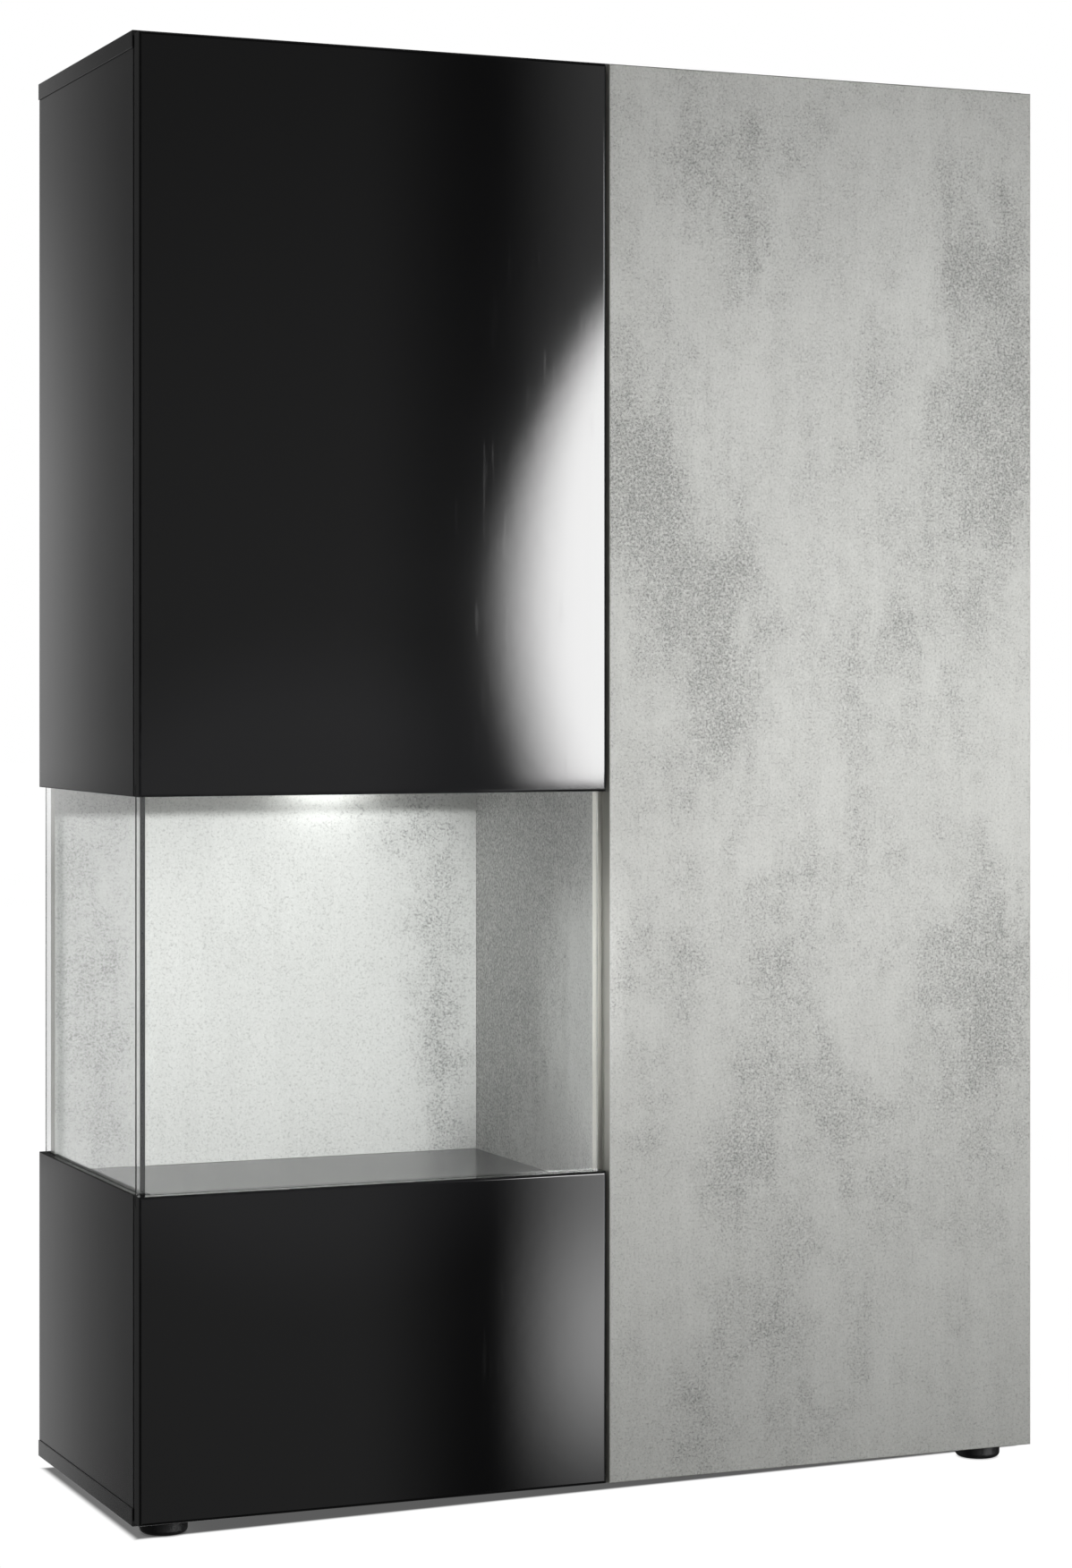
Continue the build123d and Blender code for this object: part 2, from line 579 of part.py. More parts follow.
with BuildPart() as cable_grommet:
    start = Vector(GROMMET_PLACE[0], SHEET_REAR, GROMMET_PLACE[1])
    rod(start, BACKWARD, GROMMET_RADIUS + GROMMET_WALL, GROMMET_FLANGE)
    rod(start, FORWARD, GROMMET_RADIUS, BACK_SHEET)
    fillet(cable_grommet.edges().group_by(Axis.Y)[-1], GROMMET_EDGE_RADIUS)
    mouth = start + BACKWARD * GROMMET_FLANGE
    bore(mouth, FORWARD, GROMMET_RADIUS - GROMMET_WALL, GROMMET_FLANGE + BACK_SHEET)
save(cable_grommet, "cable_grommet")

# ---------------------------------------------------------------- adjustable shelves
SHELF_FRONT = CARCASS_FRONT + SHELF_FRONT_SETBACK
SHELF_REAR = SHEET_FRONT - SHELF_REAR_PLAY
SHELVES = {
    "upper_shelf": (-INNER_SIDE, -BOARD / 2, UPPER_SHELF_HEIGHTS[0]),
    "right_shelf_lower": (BOARD / 2, INNER_SIDE, RIGHT_SHELF_HEIGHTS[0]),
    "right_shelf_middle": (BOARD / 2, INNER_SIDE, RIGHT_SHELF_HEIGHTS[1]),
    "right_shelf_upper": (BOARD / 2, INNER_SIDE, RIGHT_SHELF_HEIGHTS[2]),
}

for name, (x_low, x_high, height) in SHELVES.items():
    with BuildPart() as shelf:
        add(
            board(
                (x_low + SHELF_SIDE_PLAY, SHELF_FRONT, BASE + height),
                (x_high - SHELF_SIDE_PLAY, SHELF_REAR, BASE + height + BOARD),
            )
        )
    save(shelf, name)

with BuildPart() as shelf_pins:
    for x_low, x_high, height in SHELVES.values():
        for y in PIN_LINES:
            z = BASE + height - SHELF_REST_RADIUS
            for x, inward in ((x_low, TO_RIGHT), (x_high, TO_LEFT)):
                rod(Vector(x, y, z), inward * -1, SHELF_PIN_RADIUS, SHELF_PIN_DEPTH)
                rod(Vector(x, y, z), inward, SHELF_REST_RADIUS, SHELF_REST_LENGTH)
save(shelf_pins, "shelf_pins")

# ---------------------------------------------------------------- cam locks and dowels
with BuildPart() as cam_housings:
    for _, _, x, z, inward, face in JOINTS:
        for y in CAM_LINES:
            centre = Vector(x, y, z) + inward * CAM_DISTANCE
            mouth = centre + face * (BOARD / 2 - CAM_SETBACK)
            rod(mouth, face * -1, CAM_RADIUS, CAM_DEPTH - CAM_SETBACK)
    for _, _, x, z, inward, face in JOINTS:
        for y in CAM_LINES:
            centre = Vector(x, y, z) + inward * CAM_DISTANCE
            bore(centre + inward, inward * -1, CAM_BOLT_RADIUS + FIT_PLAY, CAM_RADIUS + CAM_MOUTH)
            slot_length, slot_width, slot_height = CAM_SLOT
            with Locations(Plane(centre + face * (BOARD / 2 - CAM_SETBACK), z_dir=face).location):
                Box(slot_length, slot_width, slot_height, mode=Mode.SUBTRACT)
                Box(slot_width, slot_length, slot_height, mode=Mode.SUBTRACT)
save(cam_housings, "cam_housings")

with BuildPart() as cam_bolts:
    for _, _, x, z, inward, face in JOINTS:
        for y in CAM_LINES:
            end = Vector(x, y, z)
            rod(end, inward, CAM_BOLT_RADIUS, CAM_DISTANCE - CAM_BOLT_PLAY)
            rod(end, inward * -1, CAM_THREAD_RADIUS, CAM_THREAD)
save(cam_bolts, "cam_bolts")

with BuildPart() as dowels:
    for _, _, x, z, inward, face in JOINTS:
        for y in DOWEL_LINES:
            start = Vector(x, y, z) - inward * DOWEL_HALF
            rod(start, inward, DOWEL_RADIUS, 2 * DOWEL_HALF)
save(dowels, "dowels")

# ---------------------------------------------------------------- feet
for name, (x, y) in FOOT_PLACES.items():
    with BuildPart() as foot:
        rod(Vector(x, y, 0), UP, FOOT_RADIUS, FOOT_HEIGHT)
        fillet(foot.edges().group_by(Axis.Z)[0], FOOT_EDGE_RADIUS)
        bore(Vector(x, y, 0), UP, FOOT_RECESS_RADIUS, FOOT_SCREW_RECESS)
        screw_hole(Vector(x, y, FOOT_SCREW_RECESS), UP, FOOT_SCREW, FOOT_HEIGHT)
    save(foot, f"foot_{name}")

with BuildPart() as foot_screws:
    for x, y in FOOT_PLACES.values():
        head = Vector(x, y, FOOT_SCREW_RECESS)
        screw(head, UP, FOOT_SCREW, FOOT_SCREW_LENGTH)
save(foot_screws, "foot_screws")

# ---------------------------------------------------------------- wall brackets
BRACKET_TOP = INNER_TOP
BRACKET_FRONT = SHEET_FRONT - BRACKET_DEPTH

for name, x in zip(("wall_bracket_left", "wall_bracket_right"), BRACKET_PLACES):
    with BuildPart() as bracket:
        with BuildSketch(Plane.YZ.offset(x - BRACKET_WIDTH / 2)):
            with BuildLine():
                Polyline(
                    (SHEET_FRONT, BRACKET_TOP),
                    (BRACKET_FRONT, BRACKET_TOP),
                    (BRACKET_FRONT, BRACKET_TOP - BRACKET_THICKNESS),
                    (SHEET_FRONT - BRACKET_THICKNESS, BRACKET_TOP - BRACKET_THICKNESS),
                    (SHEET_FRONT - BRACKET_THICKNESS, BRACKET_TOP - BRACKET_HEIGHT),
                    (SHEET_FRONT, BRACKET_TOP - BRACKET_HEIGHT),
                    close=True,
                )
            make_face()
        extrude(amount=BRACKET_WIDTH)
        fillet(bracket.edges().filter_by(Axis.Y).group_by(Axis.Z)[0], BRACKET_CORNER)
        bore(
            Vector(x, SHEET_FRONT - BRACKET_THICKNESS, BRACKET_TOP - BRACKET_HOLE_DROP),
            BACKWARD, WALL_HOLE_RADIUS, BRACKET_THICKNESS,
        )
        screw_hole(
            Vector(x, BRACKET_SCREW_Y, BRACKET_TOP - BRACKET_THICKNESS),
            UP, FLAT_SCREW, BRACKET_SCREW_LENGTH,
        )
    save(bracket, name)

with BuildPart() as bracket_screws:
    for x in BRACKET_PLACES:
        head = Vector(x, BRACKET_SCREW_Y, BRACKET_TOP - BRACKET_THICKNESS)
        screw(head, UP, FLAT_SCREW, BRACKET_SCREW_LENGTH)
save(bracket_screws, "bracket_screws")

# ---------------------------------------------------------------- doors
PANE_FRONT = FRONT + FRONT_GLASS_SETBACK
PANE_REAR = PANE_FRONT + FRONT_GLASS
DOOR_LOW = BASE + DOOR_INSET
DOOR_HIGH = TOP - DOOR_INSET
MIDDLE_EDGE = DOOR_MIDDLE_GAP / 2
PANE_END = -MIDDLE_EDGE - FRONT_GLASS_INSET
PANE_GROOVE = 10.0


def door_slab(low, high, front_radius):
    """A door panel between two corners, its front and rear edges rounded."""
    centre = middle(low, high)
    size = span(low, high)
    with BuildPart() as slab:
        with BuildSketch(Plane.XY.offset(low[2])):
            with Locations(centre[:2]):
                Rectangle(size[0], size[1])
        extrude(amount=size[2])
        fillet(slab.edges().group_by(Axis.Y)[0], front_radius)
        fillet(slab.edges().group_by(Axis.Y)[-1], DOOR_REAR_RADIUS)
    return slab.part


def cut_cups(side, heights):
    """Bore a door panel's rear face for its hinge cups and their screws."""
    for height in heights:
        mouth = hinge_point(side, height, CUP_CENTRE, DOOR_BACK_GAP)
        bore(mouth, FORWARD, CUP_RADIUS + FIT_PLAY, CUP_DEPTH + CUP_FLOOR_PLAY)
        for head in cup_screw_heads(side, height):
            start = head + FORWARD * CUP_FLANGE
            bore(start, FORWARD, CUP_SCREW[0] + FIT_PLAY, CUP_SCREW_LENGTH)


with BuildPart() as left_door_upper_panel:
    add(
        door_slab(
            (-HALF_WIDTH, FRONT, GLASS_HIGH), (-MIDDLE_EDGE, DOOR_REAR, DOOR_HIGH), GLOSS_EDGE_RADIUS
        )
    )
    pocket(
        (-HALF_WIDTH, PANE_FRONT - GLASS_PLAY, GLASS_HIGH),
        (PANE_END + GLASS_PLAY, PANE_REAR + GLASS_PLAY, GLASS_HIGH + PANE_GROOVE),
    )
    cut_cups(LEFT, LEFT_HINGE_HEIGHTS[2:])
save(left_door_upper_panel, "left_door_upper_panel")

with BuildPart() as left_door_lower_panel:
    add(
        door_slab(
            (-HALF_WIDTH, FRONT, DOOR_LOW), (-MIDDLE_EDGE, DOOR_REAR, GLASS_LOW), GLOSS_EDGE_RADIUS
        )
    )
    pocket(
        (-HALF_WIDTH, PANE_FRONT - GLASS_PLAY, GLASS_LOW - PANE_GROOVE),
        (PANE_END + GLASS_PLAY, PANE_REAR + GLASS_PLAY, GLASS_LOW),
    )
    cut_cups(LEFT, LEFT_HINGE_HEIGHTS[:2])
save(left_door_lower_panel, "left_door_lower_panel")

with BuildPart() as front_glass:
    add(
        board(
            (-HALF_WIDTH + GLASS_END_PLAY, PANE_FRONT, GLASS_LOW - PANE_GROOVE + GLASS_GROOVE_PLAY),
            (PANE_END, PANE_REAR, GLASS_HIGH + PANE_GROOVE - GLASS_GROOVE_PLAY),
            GLASS_EASE,
        )
    )
save(front_glass, "front_glass")

with BuildPart() as right_door_panel:
    add(
        door_slab(
            (MIDDLE_EDGE, FRONT, DOOR_LOW), (HALF_WIDTH, DOOR_REAR, DOOR_HIGH), DECOR_EDGE_RADIUS
        )
    )
    cut_cups(RIGHT, RIGHT_HINGE_HEIGHTS)
save(right_door_panel, "right_door_panel")

# ---------------------------------------------------------------- hinges
CHEEK_HALF_GAP = 4.4
CHEEK_EDGE = 10.0             # inner end of the cheeks that hold the pin
CHEEK_FRONT = 9.0             # the cheeks start this far forward of the carcass front
CUP_FLOOR = DOOR_BACK_GAP + CUP_DEPTH - CUP_WALL
KNUCKLE_RADIUS = 2.4
CRANK_INNER = 17.6            # the cranked arm passes the side panel here
CRANK_SPARE = 0.2
CRANK_CORNER = 0.4
CHANNEL_FRONT = -6.5
CHANNEL_REAR = -62.0
CHANNEL_TOP = 26.5
CHANNEL_HALF = 7.2
CHANNEL_WALL = 1.5
CHANNEL_FACE = 3.0            # thickness of the channel's front end
CHANNEL_LIFT = 1.6            # the channel's open side above the crank's inner face
RIDGE_END_PLAY = 2.0          # between the ridge and the channel's ends
ADJUSTER_PLACES = (22.0, 53.0)   # behind the carcass's front
ADJUSTER_RADIUS = 2.5
ADJUSTER_STAND = 0.8          # of the screw's end above the arm
ADJUSTER_SLOT = (3.6, 0.8, 1.6)
RIDGE_TOP = 22.0
RIDGE_HALF = 5.0
PLATE_HALF = 24.0
PLATE_HALF_DEPTH = 8.0


def cup_hollow(side, height):
    """The space inside a hinge cup: its bore less the two cheeks that hold the pin."""
    with BuildPart() as hollow:
        mouth = hinge_point(side, height, CUP_CENTRE, 0.0)
        rod(mouth, FORWARD, CUP_RADIUS - CUP_WALL, CUP_FLOOR)
        for lift in (LEFT, RIGHT):
            near = hinge_point(side, height, 0.0, CHEEK_FRONT, lift * CHEEK_HALF_GAP)
            far = hinge_point(side, height, CHEEK_EDGE, CUP_FLOOR, lift * CUP_RADIUS)
            low = tuple(min(a, b) for a, b in zip(near, far))
            high = tuple(max(a, b) for a, b in zip(near, far))
            pocket(low, high)
    return hollow.part


def hinge_cups(side, heights):
    """The cups of one door, each with its flange, and cheeks bored for the pin."""
    hollows = [cup_hollow(side, height) for height in heights]
    with BuildPart() as cups:
        for height in heights:
            mouth = hinge_point(side, height, CUP_CENTRE, DOOR_BACK_GAP)
            rod(mouth, FORWARD, CUP_RADIUS, CUP_DEPTH)
            wing_depth = DOOR_BACK_GAP - CUP_FLANGE / 2
            wing = hinge_point(side, height, CUP_CENTRE + CUP_SCREW_OFFSET, wing_depth)
            with Locations(wing):
                Box(CUP_WING_WIDTH, CUP_FLANGE, CUP_SCREW_SPACING + 2 * CUP_WING_MARGIN)
        for hollow in hollows:
            add(hollow, mode=Mode.SUBTRACT)
        for height in heights:
            start = hinge_point(side, height, *HINGE_PIN, -HINGE_PIN_HALF - FIT_PLAY)
            bore(start, UP, HINGE_PIN_RADIUS + HINGE_PIN_PRESS, 2 * (HINGE_PIN_HALF + FIT_PLAY))
            for head in cup_screw_heads(side, height):
                screw_hole(head, FORWARD, CUP_SCREW, 2 * CUP_FLANGE)
    return cups


def hinge_pins(side, heights):
    """The steel pins, pressed into the cups' cheeks."""
    with BuildPart() as pins:
        for height in heights:
            start = hinge_point(side, height, *HINGE_PIN, -HINGE_PIN_HALF)
            rod(start, UP, HINGE_PIN_RADIUS, 2 * HINGE_PIN_HALF)
    return pins


def hinge_arms(side, heights):
    """The cranked arms that turn on the pins, each ending in a channel over its plate."""
    pin_x, pin_y = HINGE_PIN
    half = ARM_THICKNESS / 2
    crank_outer = CRANK_INNER + ARM_THICKNESS + CRANK_SPARE
    channel_inside = CHANNEL_FRONT - CHANNEL_FACE
    with BuildPart() as arms:
        for height in heights:
            with BuildSketch(hinge_plane(side, height)):
                with Locations((pin_x, pin_y)):
                    Circle(KNUCKLE_RADIUS)
                with BuildLine():
                    FilletPolyline(
                        (pin_x, pin_y - half),
                        (pin_x, pin_y + half),
                        (crank_outer, pin_y + half),
                        (crank_outer, CHANNEL_FRONT),
                        (CRANK_INNER, CHANNEL_FRONT),
                        (CRANK_INNER, pin_y - half),
                        radius=CRANK_CORNER,
                        close=True,
                    )
                make_face()
                with Locations((pin_x, pin_y)):
                    Circle(HINGE_PIN_RADIUS + HINGE_PIN_PLAY, mode=Mode.SUBTRACT)
            extrude(amount=ARM_HALF_WIDTH, both=True)
            with BuildSketch(hinge_plane(side, height)):
                with BuildLine():
                    Polyline(
                        (CRANK_INNER, CHANNEL_FRONT),
                        (CHANNEL_TOP, CHANNEL_FRONT),
                        (CHANNEL_TOP, CHANNEL_REAR),
                        (CRANK_INNER + CHANNEL_LIFT, CHANNEL_REAR),
                        (CRANK_INNER + CHANNEL_LIFT, channel_inside),
                        (CRANK_INNER, channel_inside),
                        close=True,
                    )
                make_face()
            extrude(amount=CHANNEL_HALF, both=True)
            with BuildSketch(hinge_plane(side, height)):
                with BuildLine():
                    Polyline(
                        (BOARD, channel_inside),
                        (CHANNEL_TOP - CHANNEL_WALL, channel_inside),
                        (CHANNEL_TOP - CHANNEL_WALL, CHANNEL_REAR),
                        (BOARD, CHANNEL_REAR),
                        close=True,
                    )
                make_face()
            extrude(amount=CHANNEL_HALF - CHANNEL_WALL, both=True, mode=Mode.SUBTRACT)
            for back in ADJUSTER_PLACES:
                hole = hinge_point(side, height, RIDGE_TOP, -back)
                bore(hole, side_direction(-side), ADJUSTER_RADIUS + FIT_PLAY, CHANNEL_TOP - BOARD)
    return arms


def hinge_plates(side, heights):
    """The mounting plates on the side panel, each with the ridge that the arm fits over."""
    ridge_front = CHANNEL_FRONT - CHANNEL_FACE - RIDGE_END_PLAY
    with BuildPart() as plates:
        for height in heights:
            with BuildSketch(hinge_plane(side, height)):
                with BuildLine():
                    Polyline(
                        (BOARD, -SYSTEM_LINE - PLATE_HALF_DEPTH),
                        (BOARD, -SYSTEM_LINE + PLATE_HALF_DEPTH),
                        (BOARD + PLATE_THICKNESS, -SYSTEM_LINE + PLATE_HALF_DEPTH),
                        (BOARD + PLATE_THICKNESS, -SYSTEM_LINE - PLATE_HALF_DEPTH),
                        close=True,
                    )
                make_face()
            extrude(amount=PLATE_HALF, both=True)
            with BuildSketch(hinge_plane(side, height)):
                with BuildLine():
                    Polyline(
                        (BOARD, CHANNEL_REAR + RIDGE_END_PLAY),
                        (BOARD, ridge_front),
                        (RIDGE_TOP, ridge_front),
                        (RIDGE_TOP, CHANNEL_REAR + RIDGE_END_PLAY),
                        close=True,
                    )
                make_face()
            extrude(amount=RIDGE_HALF, both=True)
            for head in plate_screw_heads(side, height):
                screw_hole(head, side_direction(side), FLAT_SCREW, PLATE_THICKNESS)
    return plates


def hinge_adjusters(side, heights):
    """The two set screws that stand on each plate's ridge and hold the arm."""
    slot_length, slot_width, slot_height = ADJUSTER_SLOT
    with BuildPart() as adjusters:
        for height in heights:
            for back in ADJUSTER_PLACES:
                foot_point = hinge_point(side, height, RIDGE_TOP, -back)
                length = CHANNEL_TOP - RIDGE_TOP + ADJUSTER_STAND
                rod(foot_point, side_direction(-side), ADJUSTER_RADIUS, length)
                top_point = hinge_point(side, height, RIDGE_TOP + length, -back)
                with Locations(Plane(top_point, z_dir=(-side, 0, 0)).location):
                    Box(slot_length, slot_width, slot_height, mode=Mode.SUBTRACT)
                    Box(slot_width, slot_length, slot_height, mode=Mode.SUBTRACT)
    return adjusters


def cup_screws(side, heights):
    """The screws that hold the cups' flanges to the door."""
    with BuildPart() as screws:
        for height in heights:
            for head in cup_screw_heads(side, height):
                screw(head, FORWARD, CUP_SCREW, CUP_SCREW_LENGTH)
    return screws


def strike_plates(side):
    """The round steel plates on the door's rear face, opposite the latch plungers."""
    with BuildPart() as plates:
        for height in LATCH_HEIGHTS:
            face = latch_point(side, height, LATCH_AXIS, DOOR_REAR)
            rod(face, BACKWARD, STRIKE_RADIUS, STRIKE_THICKNESS)
        fillet(plates.edges().group_by(Axis.Y)[-1], STRIKE_EDGE_RADIUS)
    return plates


def latch_housings(side):
    """The push latches' barrels on their base plates, screwed to the partition."""
    with BuildPart() as housings:
        for height in LATCH_HEIGHTS:
            axis_front = latch_point(side, height, LATCH_AXIS, LATCH_FRONT)
            rod(axis_front, BACKWARD, LATCH_BARREL, LATCH_LENGTH)
            base_centre = latch_point(
                side, height, LATCH_BASE / 2, LATCH_FRONT + LATCH_LENGTH / 2
            )
            with Locations(base_centre):
                Box(LATCH_BASE, LATCH_LENGTH, 2 * LATCH_BASE_HALF)
        fillet(housings.edges().filter_by(Axis.X), LATCH_EDGE_RADIUS)
        for height in LATCH_HEIGHTS:
            axis_front = latch_point(side, height, LATCH_AXIS, LATCH_FRONT)
            bore(axis_front, BACKWARD, PLUNGER_RADIUS + PLUNGER_PLAY, LATCH_LENGTH - LATCH_END_WALL)
            for head in latch_screw_heads(side, height):
                screw_hole(head, side_direction(-side), LATCH_SCREW, LATCH_BASE)
    return housings


MAGNET_RADIUS = 3.0
MAGNET_LENGTH = 4.0
MAGNET_PRESS = 0.02           # radial play of the pressed-in magnets
MAGNET_SETBACK = 0.1
PLUNGER_EDGE_RADIUS = 0.6


def latch_plungers(side):
    """The latches' sliding plungers, with a socket for the magnet in each tip."""
    with BuildPart() as plungers:
        for height in LATCH_HEIGHTS:
            tip = latch_point(side, height, LATCH_AXIS, PLUNGER_TIP)
            rod(tip, BACKWARD, PLUNGER_RADIUS, PLUNGER_LENGTH)
        fillet(plungers.edges().group_by(Axis.Y)[0], PLUNGER_EDGE_RADIUS)
        for height in LATCH_HEIGHTS:
            tip = latch_point(side, height, LATCH_AXIS, PLUNGER_TIP)
            bore(tip, BACKWARD, MAGNET_RADIUS + MAGNET_PRESS, MAGNET_LENGTH)
    return plungers


def latch_magnets(side):
    """The magnets in the plunger tips."""
    with BuildPart() as magnets:
        for height in LATCH_HEIGHTS:
            tip = latch_point(side, height, LATCH_AXIS, PLUNGER_TIP + MAGNET_SETBACK)
            rod(tip, BACKWARD, MAGNET_RADIUS, MAGNET_LENGTH - MAGNET_SETBACK)
    return magnets


for side_name, side, heights in (
    ("left", LEFT, LEFT_HINGE_HEIGHTS),
    ("right", RIGHT, RIGHT_HINGE_HEIGHTS),
):
    save(hinge_cups(side, heights), f"{side_name}_hinge_cups")
    save(hinge_pins(side, heights), f"{side_name}_hinge_pins")
    save(hinge_arms(side, heights), f"{side_name}_hinge_arms")
    save(hinge_plates(side, heights), f"{side_name}_hinge_plates")
    save(hinge_adjusters(side, heights), f"{side_name}_hinge_adjusters")
    save(cup_screws(side, heights), f"{side_name}_cup_screws")
    save(strike_plates(side), f"{side_name}_strike_plates")
    save(latch_housings(side), f"{side_name}_latch_housings")
    save(latch_plungers(side), f"{side_name}_latch_plungers")
    save(latch_magnets(side), f"{side_name}_latch_magnets")

with BuildPart() as plate_screws:
    for side, heights in ((LEFT, LEFT_HINGE_HEIGHTS), (RIGHT, RIGHT_HINGE_HEIGHTS)):
        for height in heights:
            for head in plate_screw_heads(side, height):
                screw(head, side_direction(side), FLAT_SCREW, PLATE_SCREW_LENGTH)
save(plate_screws, "plate_screws")

with BuildPart() as latch_screws:
    for side in (LEFT, RIGHT):
        for height in LATCH_HEIGHTS:
            for head in latch_screw_heads(side, height):
                screw(head, side_direction(-side), LATCH_SCREW, LATCH_SCREW_LENGTH)
save(latch_screws, "latch_screws")
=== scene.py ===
"""Looks for the display cabinet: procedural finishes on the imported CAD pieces, studio light and camera."""
import json
import math

import bpy
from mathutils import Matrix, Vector


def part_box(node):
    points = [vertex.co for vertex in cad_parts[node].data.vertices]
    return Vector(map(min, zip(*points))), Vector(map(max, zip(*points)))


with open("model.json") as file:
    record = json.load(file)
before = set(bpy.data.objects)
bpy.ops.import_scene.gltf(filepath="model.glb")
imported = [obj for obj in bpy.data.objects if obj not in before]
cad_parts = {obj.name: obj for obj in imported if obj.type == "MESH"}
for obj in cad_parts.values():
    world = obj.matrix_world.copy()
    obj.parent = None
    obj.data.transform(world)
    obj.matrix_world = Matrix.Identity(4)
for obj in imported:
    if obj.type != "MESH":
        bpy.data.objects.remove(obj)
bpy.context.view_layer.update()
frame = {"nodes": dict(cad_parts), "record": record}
NODES = frame["nodes"]

WHITE = (1.0, 1.0, 1.0, 1.0)
SEED_STEPS = (3.1, 1.7, 2.3)        # metres that a pattern moves per unit of seed
NAME_STEP = 0.13                    # seed per letter of a node's name


# ---------- shader building ----------
class Shader:
    """A material under construction, called s in the functions that build one. Object coordinates are the row
    frame at rest, in metres."""

    def __init__(self, name, seed=0.0):
        self.material = bpy.data.materials.new(name)
        self.material.use_nodes = True
        self.tree = self.material.node_tree
        self.tree.nodes.clear()
        self.output = self.add("ShaderNodeOutputMaterial")
        self.coordinates = self.add("ShaderNodeTexCoord")
        self.place = self.coordinates.outputs["Object"]
        self.shifted = self.vector("ADD", self.place, tuple(seed * step for step in SEED_STEPS))

    def add(self, kind, **settings):
        node = self.tree.nodes.new(kind)
        for key, value in settings.items():
            setattr(node, key, value)
        return node

    def put(self, socket, value):
        if isinstance(value, bpy.types.NodeSocket):
            self.tree.links.new(value, socket)
        elif value is not None:
            socket.default_value = value

    def math(self, operation, a, b=None, c=None):
        node = self.add("ShaderNodeMath", operation=operation)
        for socket, value in zip(node.inputs, (a, b, c)):
            self.put(socket, value)
        return node.outputs[0]

    def vector(self, operation, a, b=None):
        node = self.add("ShaderNodeVectorMath", operation=operation)
        self.put(node.inputs[0], a)
        self.put(node.inputs[1], b)
        single = operation in ("LENGTH", "DOT_PRODUCT")
        return node.outputs["Value" if single else "Vector"]

    def parts(self, source=None):
        """The x, y and z of a vector, which is the object coordinate unless another is given."""
        split = self.add("ShaderNodeSeparateXYZ")
        self.put(split.inputs[0], source or self.place)
        return split.outputs

    def scaled(self, factors, source=None):
        return self.vector("MULTIPLY", source or self.shifted, factors)

    def noise(self, scale, detail=2.0, rough=0.5, source=None):
        node = self.add("ShaderNodeTexNoise")
        self.put(node.inputs["Vector"], source or self.shifted)
        node.inputs["Scale"].default_value = scale
        node.inputs["Detail"].default_value = detail
        node.inputs["Roughness"].default_value = rough
        return node.outputs["Fac"]

    def cells(self, scale, source=None):
        node = self.add("ShaderNodeTexVoronoi")
        self.put(node.inputs["Vector"], source or self.shifted)
        node.inputs["Scale"].default_value = scale
        return node.outputs["Distance"]

    def spread(self, value, low, high, to_low=0.0, to_high=1.0):
        """Maps low...high smoothly to to_low...to_high, and stays at either end outside it."""
        node = self.add("ShaderNodeMapRange", interpolation_type="SMOOTHSTEP")
        for socket, item in zip(node.inputs, (value, low, high, to_low, to_high)):
            self.put(socket, item)
        return node.outputs[0]

    def blend(self, factor, a, b):
        node = self.add("ShaderNodeMix", data_type="RGBA")
        self.put(node.inputs["Factor"], factor)
        self.put(node.inputs["A"], a)
        self.put(node.inputs["B"], b)
        return node.outputs["Result"]

    def bump(self, height, depth):
        """A normal from a height of 0...1, which stands for depth metres."""
        node = self.add("ShaderNodeBump")
        node.inputs["Strength"].default_value = 1.0
        node.inputs["Distance"].default_value = depth
        self.put(node.inputs["Height"], height)
        return node.outputs[0]

    def edges(self, node_name, width):
        """1 on a box-like piece's edges, falling to 0 at width from them."""
        low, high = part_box(node_name)
        offset = self.vector("SUBTRACT", self.place, tuple((low + high) / 2))
        gap = self.vector("SUBTRACT", tuple((high - low) / 2), self.vector("ABSOLUTE", offset))
        x, y, z = self.parts(gap)
        least = self.math("MINIMUM", self.math("MINIMUM", x, y), z)
        most = self.math("MAXIMUM", self.math("MAXIMUM", x, y), z)
        total = self.math("ADD", self.math("ADD", x, y), z)
        middle = self.math("SUBTRACT", self.math("SUBTRACT", total, least), most)
        return self.spread(middle, 0.0, width, 1.0, 0.0)

    def ends(self, node_name, width):
        """1 at a piece's top and bottom, falling to 0 at width from them."""
        low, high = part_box(node_name)
        height = self.parts()[2]
        above = self.math("SUBTRACT", height, low.z)
        below = self.math("SUBTRACT", high.z, height)
        return self.spread(self.math("MINIMUM", above, below), 0.0, width, 1.0, 0.0)

    def off_axis(self, node_name):
        """The horizontal offset from a turned piece's own upright axis."""
        low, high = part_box(node_name)
        centre = (low + high) / 2
        offset = self.vector("SUBTRACT", self.place, (centre.x, centre.y, 0.0))
        return self.vector("MULTIPLY", offset, (1.0, 1.0, 0.0))

    def ridges(self):
        """1 where the surface stands out sharply, 0 where it is flat or hollow."""
        geometry = self.add("ShaderNodeNewGeometry")
        return self.spread(geometry.outputs["Pointiness"], 0.50, 0.60)

    def facing(self, axis):
        """How much the surface faces along an axis of its own object, either way."""
        along = self.vector("DOT_PRODUCT", self.coordinates.outputs["Normal"], axis)
        return self.math("ABSOLUTE", along)

    def principled(self, **sockets):
        node = self.add("ShaderNodeBsdfPrincipled")
        for key, value in sockets.items():
            self.put(node.inputs[key.replace("_", " ")], value)
        return node.outputs[0]

    def finish(self, surface):
        self.put(self.output.inputs["Surface"], surface)
        return self.material


def shade(name, maker):
    """Gives a CAD node a material of its own. The length of its name moves the material's pattern."""
    material = maker(name, len(name) * NAME_STEP)
    mesh = NODES[name].data
    if not mesh.materials:
        mesh.materials.append(material)
    for slot in NODES[name].material_slots:
        slot.link = "OBJECT"
        slot.material = material


